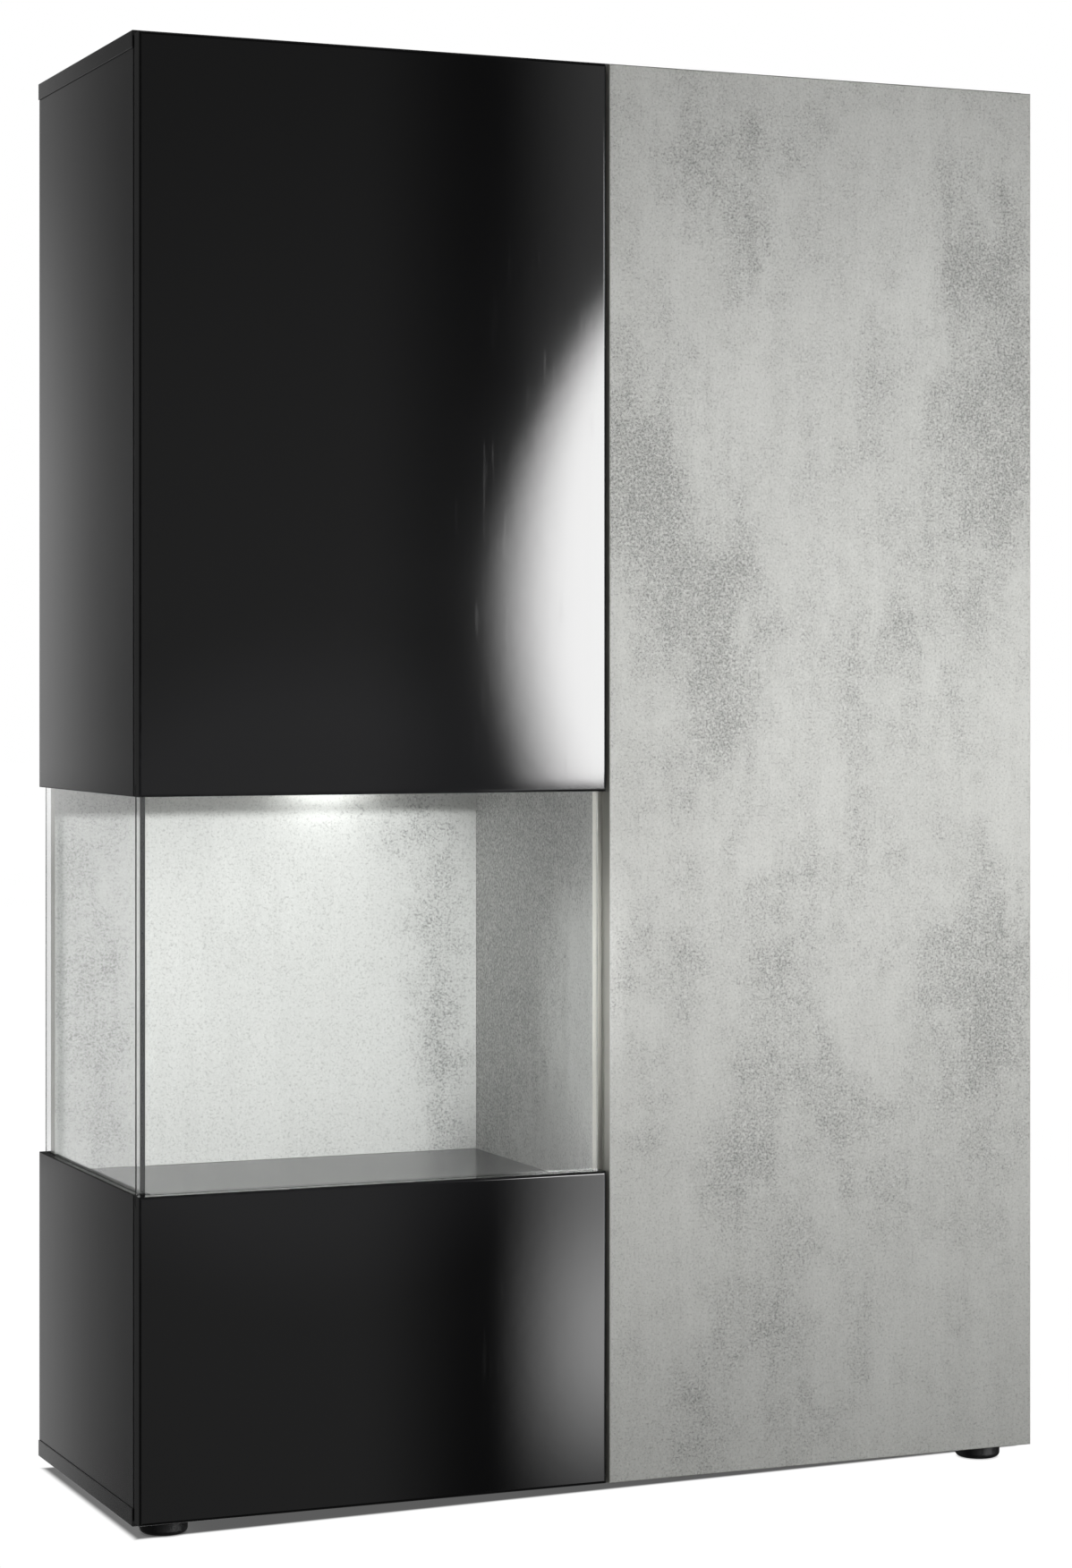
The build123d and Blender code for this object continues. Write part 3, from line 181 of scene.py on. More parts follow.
# ---------- finishes ----------
SATIN_DARK = (0.018, 0.018, 0.0195, 1.0)
SATIN_LIGHT = (0.026, 0.026, 0.028, 1.0)
SATIN_DUST = (0.055, 0.055, 0.058, 1.0)
SATIN_RUBBED = (0.075, 0.075, 0.078, 1.0)
# painted shade in the seams at a side panel's top and bottom
SEAM_PAINTED_SHADE = (0.004, 0.004, 0.004, 1.0)
GLOSS_DARK = (0.0044, 0.0044, 0.0047, 1.0)
GLOSS_LIGHT = (0.0060, 0.0060, 0.0064, 1.0)
GLOSS_RUBBED = (0.035, 0.035, 0.037, 1.0)
CONCRETE_PALE = (0.655, 0.660, 0.630, 1.0)
CONCRETE_GROUND = (0.590, 0.594, 0.566, 1.0)
CONCRETE_CLOUD = (0.430, 0.433, 0.412, 1.0)
CONCRETE_SPECK = (0.250, 0.252, 0.240, 1.0)
CONCRETE_FLAKE = (0.760, 0.765, 0.735, 1.0)
EDGE_BAND = (0.680, 0.672, 0.610, 1.0)
FIBRE_DARK = (0.030, 0.029, 0.029, 1.0)
FIBRE_LIGHT = (0.050, 0.048, 0.047, 1.0)
FIBRE_STRAND = (0.095, 0.085, 0.075, 1.0)
FIBRE_CUT = (0.16, 0.12, 0.085, 1.0)
GLASS_EDGE = (0.004, 0.009, 0.007, 1.0)
GLASS_FACE = (0.962, 0.968, 0.966, 1.0)
GLASS_EDGE_SHADOW = (0.05, 0.09, 0.07, 1.0)
GLASS_FACE_SHADOW = (0.938, 0.943, 0.942, 1.0)
NICKEL = (0.60, 0.595, 0.575, 1.0)
NICKEL_DULL = (0.42, 0.41, 0.39, 1.0)
NICKEL_RUBBED = (0.78, 0.775, 0.755, 1.0)
ZINC_DARK = (0.36, 0.365, 0.38, 1.0)
ZINC_LIGHT = (0.50, 0.505, 0.52, 1.0)
ZINC_RUBBED = (0.70, 0.70, 0.71, 1.0)
BEECH_DARK = (0.62, 0.44, 0.27, 1.0)
BEECH_LIGHT = (0.76, 0.58, 0.39, 1.0)
BEECH_FLECK = (0.36, 0.22, 0.12, 1.0)
ALUMINIUM_DARK = (0.62, 0.63, 0.65, 1.0)
ALUMINIUM_LIGHT = (0.74, 0.75, 0.77, 1.0)
OPAL_RIM = (0.88, 0.90, 0.92, 1.0)
OPAL_MIDDLE = (0.97, 0.98, 1.0, 1.0)
LIGHT_RIM = (0.80, 0.88, 1.0, 1.0)
LIGHT_MIDDLE = (1.0, 0.99, 0.96, 1.0)

SEAM_WIDTH = 0.0018         # metres, like all the lengths here
SHINE = 0.5
SEAM_SHINE = 0.05
CONCRETE_SHINE = 0.15
GLOSS_IOR = 1.52
GLASS_IOR = 1.50
RING_RATE = 14000.0         # radians per metre from the axis: a turning mark every 0.45 mm
LENS_REACH = 0.026          # from the lamp's axis to where its lens is dimmest
LENS_STRENGTH = 6.0


def satin_board(name, seed):
    """Black melamine: fine pearl texture, faint clouds, dust and slightly lighter rubbed edges. A side panel
    also has painted shade: a near-black line in the seam at its top and bottom."""
    s = Shader(f"satin_{name}", seed)
    cloud = s.noise(3.2, 4.0, 0.6)
    pearl = s.noise(1500.0, 2.0, 0.6)
    dust = s.spread(s.noise(260.0, 3.0, 0.7), 0.62, 0.78)
    worn = s.math("MULTIPLY", s.edges(name, 0.0022), s.spread(s.noise(45.0, 3.0, 0.6), 0.35, 0.7))
    body = s.blend(cloud, SATIN_DARK, SATIN_LIGHT)
    body = s.blend(s.math("MULTIPLY", dust, 0.25), body, SATIN_DUST)
    body = s.blend(s.math("MULTIPLY", worn, 0.5), body, SATIN_RUBBED)
    rough = s.math("ADD", s.spread(cloud, 0.3, 0.7, 0.165, 0.20), s.math("MULTIPLY", pearl, 0.03))
    height = s.math("ADD", s.math("MULTIPLY", pearl, 0.6), s.math("MULTIPLY", s.noise(420.0, 2.0), 0.4))
    shine = SHINE
    if "side" in name:
        # Painted shade: a near-black line, with less shine, in the seam at the side panel's top and bottom.
        seam = s.ends(name, SEAM_WIDTH)
        body = s.blend(s.math("MULTIPLY", seam, 0.85), body, SEAM_PAINTED_SHADE)
        shine = s.spread(seam, 0.0, 1.0, SHINE, SEAM_SHINE)
    return s.finish(s.principled(Base_Color=body, Roughness=rough, Specular_IOR_Level=shine,
                                 Normal=s.bump(height, 0.00003)))


def gloss_panel(name, seed):
    """High-gloss black lacquer: deep colour, slight orange peel, hair-fine wiping marks, rubbed edges."""
    s = Shader(f"gloss_{name}", seed)
    cloud = s.noise(2.0, 3.0, 0.5)
    marks = s.spread(s.noise(240.0, 2.0, 0.6, s.scaled((1.0, 1.0, 0.06))), 0.6, 0.8)
    worn = s.math("MULTIPLY", s.edges(name, 0.0025), s.spread(s.noise(60.0, 3.0, 0.6), 0.3, 0.7))
    body = s.blend(cloud, GLOSS_DARK, GLOSS_LIGHT)
    body = s.blend(s.math("MULTIPLY", worn, 0.5), body, GLOSS_RUBBED)
    rough = s.math("ADD", s.spread(cloud, 0.3, 0.7, 0.035, 0.06), s.math("MULTIPLY", marks, 0.03))
    peel = s.math("ADD", s.noise(46.0, 1.0, 0.4), s.math("MULTIPLY", s.noise(150.0, 1.0), 0.15))
    return s.finish(s.principled(Base_Color=body, Roughness=rough, IOR=GLOSS_IOR,
                                 Normal=s.bump(peel, 0.000008)))


# Darker clouds of the concrete decor, and on the back board and the partition also painted shade: along the
# board, up it, half width, half height and strength.
# Places and sizes are shares of the board's width and height, counted from its low x (or y) and its foot.
DOOR_CLOUDS = (
    (0.23, 0.938, 0.10, 0.020, 0.60),
    (0.42, 0.959, 0.06, 0.030, 0.55),
    (0.31, 0.882, 0.05, 0.040, 0.65),
    (0.94, 0.798, 0.12, 0.090, 0.75),
    (0.93, 0.863, 0.08, 0.040, 0.40),
    (0.91, 0.738, 0.10, 0.040, 0.50),
    (0.80, 0.874, 0.03, 0.080, 0.30),
    (0.62, 0.793, 0.05, 0.060, 0.35),
    (0.05, 0.731, 0.11, 0.060, 0.80),
    (0.10, 0.671, 0.08, 0.035, 0.60),
    (0.28, 0.656, 0.05, 0.040, 0.50),
    (0.24, 0.584, 0.08, 0.060, 0.75),
    (0.25, 0.522, 0.05, 0.035, 0.50),
    (0.15, 0.605, 0.06, 0.020, 0.40),
    (0.54, 0.584, 0.07, 0.045, 0.50),
    (0.68, 0.586, 0.03, 0.050, 0.50),
    (0.88, 0.645, 0.10, 0.045, 0.45),
    (0.81, 0.536, 0.05, 0.035, 0.40),
    (0.57, 0.469, 0.03, 0.055, 0.45),
    (0.39, 0.414, 0.10, 0.028, 0.60),
    (0.14, 0.380, 0.08, 0.030, 0.65),
    (0.87, 0.376, 0.14, 0.045, 0.60),
    (0.89, 0.310, 0.12, 0.055, 0.65),
    (0.44, 0.361, 0.06, 0.020, 0.35),
    (0.36, 0.310, 0.05, 0.045, 0.60),
    (0.49, 0.289, 0.07, 0.030, 0.45),
    (0.30, 0.234, 0.05, 0.045, 0.65),
    (0.52, 0.242, 0.07, 0.030, 0.50),
    (0.40, 0.154, 0.05, 0.050, 0.40),
    (0.11, 0.266, 0.04, 0.020, 0.40),
    (0.63, 0.242, 0.05, 0.015, 0.30),
    (0.30, 0.112, 0.08, 0.030, 0.30),
    (0.58, 0.107, 0.03, 0.060, 0.30),
    (0.19, 0.032, 0.07, 0.030, 0.35),
    (0.42, 0.046, 0.06, 0.030, 0.30),
    (0.91, 0.197, 0.07, 0.030, 0.35),
)
# On the display's back board: partly the decor's clouds and partly painted shade, which darkens its right
# part.
BACK_CLOUDS_AND_SHADE = (
    (0.90, 0.62, 0.07, 0.40, 0.90),
    (0.93, 0.20, 0.05, 0.20, 0.70),
    (0.78, 0.90, 0.10, 0.10, 0.60),
    (0.05, 0.60, 0.09, 0.60, 0.80),
    (0.12, 0.25, 0.05, 0.25, 0.50),
)
# On the centre partition: partly the decor's clouds and partly painted shade, which darkens it towards the
# back board.
PARTITION_CLOUDS_AND_SHADE = (
    (0.90, 0.40, 0.40, 0.11, 1.00),
    (0.55, 0.45, 0.35, 0.04, 0.90),
    (0.78, 0.32, 0.30, 0.06, 0.90),
    (0.96, 0.26, 0.20, 0.06, 0.60),
    (0.35, 0.43, 0.20, 0.04, 0.50),
    (0.50, 0.80, 0.30, 0.10, 0.60),
    (0.30, 0.12, 0.30, 0.06, 0.60),
)
# For each board: its clouds (on the back board and the partition partly painted shade), the axis along it,
# where its big faces look, and how cloudy it is between them.
CLOUD_AND_SHADE_TABLES = {
    "right_door_panel": (DOOR_CLOUDS, 0, (0.0, 1.0, 0.0), 0.0),
    "display_back_board": (BACK_CLOUDS_AND_SHADE, 0, (0.0, 1.0, 0.0), -0.50),
    "centre_partition": (PARTITION_CLOUDS_AND_SHADE, 1, (1.0, 0.0, 0.0), 0.0),
}
TORN_REACH = (0.14, 0.14, 0.40)     # how far outlines are pulled about
PATCH_REACH = 2.0                   # a patch fades out at this many times its half size
PATCH_STRENGTH = 1.5
ENDLESS = 1000.0


def torn_place(s):
    """The object coordinate pulled about, so that what is placed by it gets a ragged outline."""
    torn = s.add("ShaderNodeTexNoise")
    s.put(torn.inputs["Vector"], s.scaled((1.0, 1.0, 0.5)))
    torn.inputs["Scale"].default_value = 16.0
    torn.inputs["Detail"].default_value = 7.0
    torn.inputs["Roughness"].default_value = 0.7
    pull = s.vector("SUBTRACT", torn.outputs["Color"], (0.5, 0.5, 0.5))
    return s.vector("ADD", s.place, s.scaled(TORN_REACH, pull))


def soft_patch(s, place, centre, reach):
    """1 in the middle of a patch, falling evenly to 0 at reach from it along each axis."""
    spot = s.add("ShaderNodeMapping")
    s.put(spot.inputs["Vector"], place)
    spot.inputs["Scale"].default_value = [1.0 / item for item in reach]
    spot.inputs["Location"].default_value = [-a / b for a, b in zip(centre, reach)]
    fade = s.add("ShaderNodeTexGradient", gradient_type="SPHERICAL")
    s.put(fade.inputs["Vector"], spot.outputs["Vector"])
    return fade.outputs["Fac"]


def placed_clouds_and_shade(s, name):
    """The sum of the darker clouds on a board, each a soft patch as deep as the board: the decor's clouds,
    and on the back board and the partition partly painted shade.
    """
    rows, across, _, total = CLOUD_AND_SHADE_TABLES[name]
    low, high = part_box(name)
    size = high - low
    place = torn_place(s)
    for along, up, wide, tall, strength in rows:
        reach = Vector((ENDLESS, ENDLESS, tall * size.z * PATCH_REACH))
        centre = Vector((0.0, 0.0, low.z + up * size.z))
        reach[across] = wide * size[across] * PATCH_REACH
        centre[across] = low[across] + along * size[across]
        patch = soft_patch(s, place, centre, reach)
        total = s.math("MULTIPLY_ADD", patch, strength * PATCH_STRENGTH, total)
    return total


def cloud_and_shade_cover(s, name, broad, drag):
    """How cloudy the decor is, 0...1: the placed clouds, some of them painted shade, broken up by three sizes
    of noise.
    """
    ragged = s.noise(26.0, 10.0, 0.84, s.scaled((1.0, 1.0, 0.85)))
    field = placed_clouds_and_shade(s, name)
    for noise, amount in ((ragged, 4.6), (drag, 0.6), (broad, 1.4)):
        field = s.math("MULTIPLY_ADD", s.math("SUBTRACT", noise, 0.5), amount, field)
    return s.spread(field, -0.55, 1.75)


def decor_colour(s, patch, dots, broad, drag):
    """The decor's ground, its clouds (some of them painted shade), the dark specks in them and the bright
    flakes over all.
    """
    ground = s.blend(s.spread(broad, 0.25, 0.75), CONCRETE_PALE, CONCRETE_GROUND)
    ground = s.blend(s.spread(drag, 0.35, 0.75, 0.0, 0.14), ground, CONCRETE_CLOUD)
    colour = s.blend(s.math("MULTIPLY", patch, 0.66), ground, CONCRETE_CLOUD)
    speckle = s.math("MULTIPLY", dots, s.spread(patch, 0.0, 0.8, 0.46, 0.95))
    colour = s.blend(speckle, colour, CONCRETE_SPECK)
    flakes = s.spread(s.noise(360.0, 4.0, 0.78), 0.51, 0.60)
    return s.blend(s.math("MULTIPLY", flakes, s.spread(patch, 0.05, 0.7, 0.28, 0.60)), colour, CONCRETE_FLAKE)


def edge_band(s):
    """The colour of the plain band glued to the narrow faces."""
    banding = s.noise(700.0, 3.0, 0.6, s.scaled((1.0, 1.0, 0.1)))
    return s.blend(s.math("MULTIPLY", banding, 0.15), EDGE_BAND, CONCRETE_CLOUD)


def concrete(name, seed):
    """Matt concrete decor: pale trowelled ground and ragged darker clouds of fine specks, dragged upright. On
    the back board and the partition some of the clouds are painted shade, and every edge carries a thin
    painted highlight. The narrow faces carry a plain edge band."""
    s = Shader(f"concrete_{name}", seed)
    broad = s.noise(5.0, 5.0, 0.60, s.scaled((1.0, 1.0, 0.60)))
    drag = s.noise(55.0, 5.0, 0.60, s.scaled((1.0, 1.0, 0.08)))
    weave = s.noise(480.0, 2.0, 0.6, s.scaled((1.0, 1.0, 0.30)))
    patch = cloud_and_shade_cover(s, name, broad, drag)
    dots = s.spread(s.math("MULTIPLY_ADD", patch, 0.07, s.noise(430.0, 4.0, 0.78)), 0.53, 0.62)
    colour = decor_colour(s, patch, dots, broad, drag)
    colour = s.blend(s.spread(weave, 0.35, 0.7, 0.0, 0.14), colour, CONCRETE_CLOUD)
    # Painted highlight: every edge is lighter within 1.5 mm of it.
    colour = s.blend(s.math("MULTIPLY", s.edges(name, 0.0015), 0.35), colour, CONCRETE_PALE)
    colour = s.blend(s.spread(s.facing(CLOUD_AND_SHADE_TABLES[name][2]), 0.5, 0.8, 1.0, 0.0), colour, edge_band(s))
    rough = s.math("MULTIPLY_ADD", dots, 0.06, s.spread(patch, 0.0, 1.0, 0.52, 0.60))
    height = s.math("SUBTRACT", s.math("MULTIPLY", weave, 0.5), s.math("MULTIPLY", dots, 0.4))
    return s.finish(s.principled(Base_Color=colour, Roughness=rough, Specular_IOR_Level=CONCRETE_SHINE,
                                 Normal=s.bump(height, 0.00008)))


def hardboard(name, seed):
    """Dark lacquered hardboard: pressed fibre texture with a screen pattern, brown where it is cut."""
    s = Shader(f"fibre_{name}", seed)
    fibre = s.noise(520.0, 4.0, 0.7, s.scaled((1.0, 1.0, 0.35)))
    cloud = s.noise(5.0, 4.0)
    mesh = s.cells(420.0)
    colour = s.blend(cloud, FIBRE_DARK, FIBRE_LIGHT)
    colour = s.blend(s.spread(fibre, 0.55, 0.75, 0.0, 0.5), colour, FIBRE_STRAND)
    colour = s.blend(s.math("MULTIPLY", s.edges(name, 0.003), 0.6), colour, FIBRE_CUT)
    rough = s.spread(fibre, 0.3, 0.7, 0.60, 0.75)
    height = s.math("ADD", s.math("MULTIPLY", fibre, 0.6), s.math("MULTIPLY", mesh, 0.4))
    return s.finish(s.principled(Base_Color=colour, Roughness=rough, Normal=s.bump(height, 0.00012)))


def pane(axis):
    """Clear float glass with polished dark green edges. axis is the direction through the pane. Light that
    only passes through on its way to a lamp is let through as if by a tinted sheet."""
    def maker(name, seed):
        s = Shader(f"glass_{name}", seed)
        across = s.spread(s.facing(axis), 0.55, 0.8)
        smear = s.noise(6.0, 4.0, 0.6)
        tint = s.blend(across, GLASS_EDGE, GLASS_FACE)
        rough = s.math("ADD", s.spread(across, 0.0, 1.0, 0.10, 0.0), s.spread(smear, 0.5, 0.8, 0.0, 0.012))
        glass = s.principled(Base_Color=tint, Roughness=rough, IOR=GLASS_IOR, Transmission_Weight=1.0,
                             Normal=s.bump(smear, 0.00002))
        clear = s.add("ShaderNodeBsdfTransparent")
        s.put(clear.inputs["Color"], s.blend(across, GLASS_EDGE_SHADOW, GLASS_FACE_SHADOW))
        path = s.add("ShaderNodeLightPath")
        mix = s.add("ShaderNodeMixShader")
        s.put(mix.inputs[0], path.outputs["Is Shadow Ray"])
        s.put(mix.inputs[1], glass)
        s.put(mix.inputs[2], clear.outputs[0])
        return s.finish(mix.outputs[0])
    return maker


def plated(name, seed):
    """Nickel-plated steel: pressed strip with fine drawn lines, brighter edges and a few dull spots."""
    s = Shader(f"nickel_{name}", seed)
    lines = s.noise(900.0, 2.0, 0.6, s.scaled((1.0, 1.0, 0.10)))
    spots = s.spread(s.noise(110.0, 4.0, 0.7), 0.55, 0.75)
    colour = s.blend(s.math("MULTIPLY", spots, 0.6), NICKEL, NICKEL_DULL)
    colour = s.blend(s.math("MULTIPLY", s.ridges(), 0.6), colour, NICKEL_RUBBED)
    rough = s.math("ADD", s.spread(lines, 0.3, 0.7, 0.20, 0.32), s.math("MULTIPLY", spots, 0.14))
    return s.finish(s.principled(Base_Color=colour, Metallic=1.0, Roughness=rough,
                                 Normal=s.bump(lines, 0.00003)))


def cast_zinc(name, seed):
    """Bare zinc die casting: dull, slightly pitted, rubbed bright where edges stand out."""
    s = Shader(f"zinc_{name}", seed)
    pits = s.cells(1400.0)
    cloud = s.noise(160.0, 4.0, 0.7)
    colour = s.blend(cloud, ZINC_DARK, ZINC_LIGHT)
    colour = s.blend(s.math("MULTIPLY", s.ridges(), 0.5), colour, ZINC_RUBBED)
    rough = s.spread(cloud, 0.3, 0.7, 0.42, 0.60)
    return s.finish(s.principled(Base_Color=colour, Metallic=1.0, Roughness=rough,
                                 Normal=s.bump(pits, 0.00004)))


def raw_beech(name, seed):
    """Raw beech: short dark flecks along the grain on a warm pale ground."""
    s = Shader(f"beech_{name}", seed)
    along = s.scaled((0.12, 1.0, 1.0))
    grain = s.noise(700.0, 4.0, 0.6, along)
    flecks = s.spread(s.noise(1300.0, 2.0, 0.6, along), 0.60, 0.72)
    colour = s.blend(grain, BEECH_DARK, BEECH_LIGHT)
    colour = s.blend(s.math("MULTIPLY", flecks, 0.7), colour, BEECH_FLECK)
    rough = s.spread(grain, 0.3, 0.7, 0.62, 0.78)
    return s.finish(s.principled(Base_Color=colour, Roughness=rough, Normal=s.bump(grain, 0.00008)))


def moulded(dark, light, rub, rough_low, rough_high):
    """Moulded plastic: eroded texture, scuffs and lighter rubbed corners."""
    def maker(name, seed):
        s = Shader(f"moulded_{name}", seed)
        erode = s.noise(1900.0, 3.0, 0.6)
        cloud = s.noise(70.0, 4.0, 0.6)
        scuff = s.spread(s.noise(320.0, 3.0, 0.7, s.scaled((1.0, 0.2, 1.0))), 0.60, 0.74)
        colour = s.blend(cloud, dark, light)
        colour = s.blend(s.math("MULTIPLY", scuff, 0.4), colour, rub)
        colour = s.blend(s.math("MULTIPLY", s.ridges(), 0.4), colour, rub)
        rough = s.spread(cloud, 0.3, 0.7, rough_low, rough_high)
        rough = s.math("ADD", rough, s.math("MULTIPLY", scuff, 0.10))
        return s.finish(s.principled(Base_Color=colour, Roughness=rough, Normal=s.bump(erode, 0.00005)))
    return maker


def anodised(name, seed):
    """Turned and anodised aluminium: fine rings about the lamp's own axis."""
    s = Shader(f"anodised_{name}", seed)
    rings = s.math("SINE", s.math("MULTIPLY", s.vector("LENGTH", s.off_axis(name)), RING_RATE))
    cloud = s.noise(60.0, 3.0)
    colour = s.blend(cloud, ALUMINIUM_DARK, ALUMINIUM_LIGHT)
    rough = s.math("ADD", s.spread(cloud, 0.3, 0.7, 0.28, 0.38), s.math("MULTIPLY", rings, 0.04))
    return s.finish(s.principled(Base_Color=colour, Metallic=1.0, Roughness=rough,
                                 Normal=s.bump(rings, 0.00002)))


def opal_lens(name, seed):
    """Opal diffuser, lit: brightest in the middle, with the faint grid of the chips behind it."""
    s = Shader(f"opal_{name}", seed)
    flat = s.off_axis(name)
    chips = s.cells(150.0, flat)
    middle = s.spread(s.vector("LENGTH", flat), 0.0, LENS_REACH, 1.0, 0.65)
    glow = s.math("MULTIPLY", middle, s.spread(chips, 0.0, 0.8, 1.0, 0.8))
    colour = s.blend(glow, OPAL_RIM, OPAL_MIDDLE)
    light = s.blend(glow, LIGHT_RIM, LIGHT_MIDDLE)
    rough = s.spread(chips, 0.0, 0.8, 0.40, 0.5)
    return s.finish(s.principled(Base_Color=colour, Roughness=rough, Emission_Color=light,
                                 Emission_Strength=LENS_STRENGTH))


BLACK = moulded(
    dark=(0.012, 0.012, 0.013, 1.0), light=(0.020, 0.020, 0.021, 1.0), rub=(0.06, 0.06, 0.062, 1.0),
    rough_low=0.38, rough_high=0.52)
GREY = moulded(
    dark=(0.30, 0.31, 0.32, 1.0), light=(0.38, 0.39, 0.40, 1.0), rub=(0.55, 0.56, 0.57, 1.0),
    rough_low=0.40, rough_high=0.52)
DARK_MAGNET = moulded(
    dark=(0.20, 0.20, 0.21, 1.0), light=(0.26, 0.26, 0.27, 1.0), rub=(0.5, 0.5, 0.51, 1.0),
    rough_low=0.25, rough_high=0.35)
FINISHES = {
    "black_board": satin_board,
    "gloss_black": gloss_panel,
    "concrete_decor": concrete,
    "hardboard": hardboard,
    "nickel_steel": plated,
    "zinc_cast": cast_zinc,
    "beech": raw_beech,
    "black_plastic": BLACK,
    "grey_plastic": GREY,
    "lamp_housing": anodised,
    "lamp_lens": opal_lens,
    "magnet": DARK_MAGNET,
}
GLASS_AXES = {"side_glass": (1.0, 0.0, 0.0), "front_glass": (0.0, 1.0, 0.0)}
for part in frame["record"]["subparts"]:
    slot_name = part.get("material_slot") or part.get("material")
    if slot_name == "clear_glass":
        shade(part["node"], pane(GLASS_AXES[part["node"]]))
    elif slot_name in FINISHES:
        shade(part["node"], FINISHES[slot_name])

# ---------- studio ----------
X, Z = 0, 2                 # axes that a card's light fades along
FLOOR_SIZE = 60.0
FLOOR_HEIGHT = -0.0005
CONTACT_REACH = 0.010       # how near a piece has to be to darken the floor
SHADE_FRONT = 0.128         # the shaded ground begins this far in front of the middle
SHADE_SLOPE = 0.0475        # and its front border runs back by this share to the right
SHADE_CENTRE = 0.014
SHADE_HALF_WIDTH = 0.476
SHADE_REAR = 0.180
SHADE_RIM = (-0.003, 0.006)         # the border is soft from outside to inside
UNDER_LEFT = (-0.450, 0.165)        # light left under the cabinet, up to this x
UNDER_RIGHT = (-0.380, 0.105)       # and from this x on
HIDDEN = (0.05, 0.60)               # openness of the ground at a piece, and where it counts as open
HIDDEN_LIGHT = 0.60
RIM_CHANGE = 0.6            # a disc's rim goes from low to high softness over this share of its radius
BEAM_COLOUR = (0.972, 0.975, 1.0)
STRIP_SIZE = (0.100, 0.006)
STRIP_GAP = 0.009           # strip light to back board
STRIP_DROP = 0.001          # strip light below the lens
STRIP_POWER = 0.055
WORLD_LIGHT = 0.09
WORLD_MIRRORED = (0.045, 0.09)      # strength that gloss mirrors in front of the cabinet and behind it
WORLD_TURN = 0.3                    # the two blend over this much of the direction's y, either way
WORLD_SEEN = 1.0


def quad(name, corners):
    """A single face in the scene, from four corners."""
    mesh = bpy.data.meshes.new(name)
    mesh.from_pydata(corners, [], [(0, 1, 2, 3)])
    item = bpy.data.objects.new(name, mesh)
    bpy.context.scene.collection.objects.link(item)
    return item


def shaded_ground(s):
    """1 on open ground and little under the closed cabinet: a painted shadow. The least distance from the
    shadow's four borders tells the two apart."""
    x, y, _ = s.parts()
    front_gap = s.math("ADD", s.math("MULTIPLY_ADD", x, -SHADE_SLOPE, y), SHADE_FRONT)
    from_centre = s.math("ABSOLUTE", s.math("SUBTRACT", x, SHADE_CENTRE))
    side_gap = s.math("SUBTRACT", SHADE_HALF_WIDTH, from_centre)
    rear_gap = s.math("SUBTRACT", SHADE_REAR, y)
    inside = s.math("MINIMUM", s.math("MINIMUM", front_gap, side_gap), rear_gap)
    under = s.spread(x, UNDER_LEFT[0], UNDER_RIGHT[0], UNDER_LEFT[1], UNDER_RIGHT[1])
    return s.spread(inside, *SHADE_RIM, 1.0, under)


def painted_contact_shade(s):
    """1 on open ground, less where a piece stands on it: painted contact shade."""
    hidden = s.add("ShaderNodeAmbientOcclusion", samples=12)
    hidden.inputs["Distance"].default_value = CONTACT_REACH
    return s.spread(hidden.outputs["AO"], *HIDDEN, HIDDEN_LIGHT, 1.0)


def add_floor():
    """White ground that shines evenly, so that it looks the same from every side, with a painted shadow under
    the closed cabinet and painted contact shade where pieces stand on it.
    """
    half = FLOOR_SIZE / 2
    z = FLOOR_HEIGHT
    floor = quad("studio_floor", [(-half, -half, z), (half, -half, z), (half, half, z), (-half, half, z)])
    s = Shader("studio_floor")
    pale = s.spread(s.noise(0.7, 3.0), 0.3, 0.7, 1.0, 1.03)
    glow = s.add("ShaderNodeEmission")
    painted_shade = s.math("MULTIPLY", shaded_ground(s), painted_contact_shade(s))
    s.put(glow.inputs["Strength"], s.math("MULTIPLY", pale, painted_shade))
    floor.data.materials.append(s.finish(glow.outputs[0]))
    floor.visible_glossy = False
    floor.visible_diffuse = False


def disc_light(s, y, x, z, radius, soft_low, soft_high):
    """1 inside a disc and 0 outside. Its rim is soft by a share of the radius, one for low down and one for
    high up."""
    distance = s.vector("LENGTH", s.vector("SUBTRACT", s.place, (x, y, z)))
    top = z + radius * RIM_CHANGE
    soft = s.spread(s.parts()[Z], z, top, soft_low * radius, soft_high * radius)
    return s.spread(distance, s.math("SUBTRACT", radius, soft), s.math("ADD", radius, soft), 1.0, 0.0)


def card_finish(name, y, strength, fades, disc):
    """A panel's light, added to what lies behind it."""
    s = Shader(name)
    place = s.parts()
    light = strength
    for axis, start, end, at_start, at_end in fades:
        light = s.math("MULTIPLY", s.spread(place[axis], start, end, at_start, at_end), light)
    if disc:
        light = s.math("MULTIPLY", disc_light(s, y, *disc), light)
    lamp = s.add("ShaderNodeEmission")
    s.put(lamp.inputs["Color"], WHITE)
    s.put(lamp.inputs["Strength"], light)
    clear = s.add("ShaderNodeBsdfTransparent")
    both = s.add("ShaderNodeAddShader")
    s.put(both.inputs[0], lamp.outputs[0])
    s.put(both.inputs[1], clear.outputs[0])
    return s.finish(both.outputs[0])


def card(name, low, high, y, strength, fades, disc=None):
    """A lamp panel from low to high (x and z) in the plane y, which is only seen mirrored. Each fade gives
    an axis, where it starts and ends on that axis, and the share of the light at both. disc gives centre x
    and z, radius and how soft its rim is as a share of the radius, low down and high up."""
    corners = [(low[0], y, low[1]), (low[0], y, high[1]), (high[0], y, high[1]), (high[0], y, low[1])]
    item = quad(name, corners)
    item.data.materials.append(card_finish(name, y, strength, fades, disc))
    item.visible_camera = False
    item.visible_diffuse = False
    item.visible_shadow = False
    item.visible_transmission = False


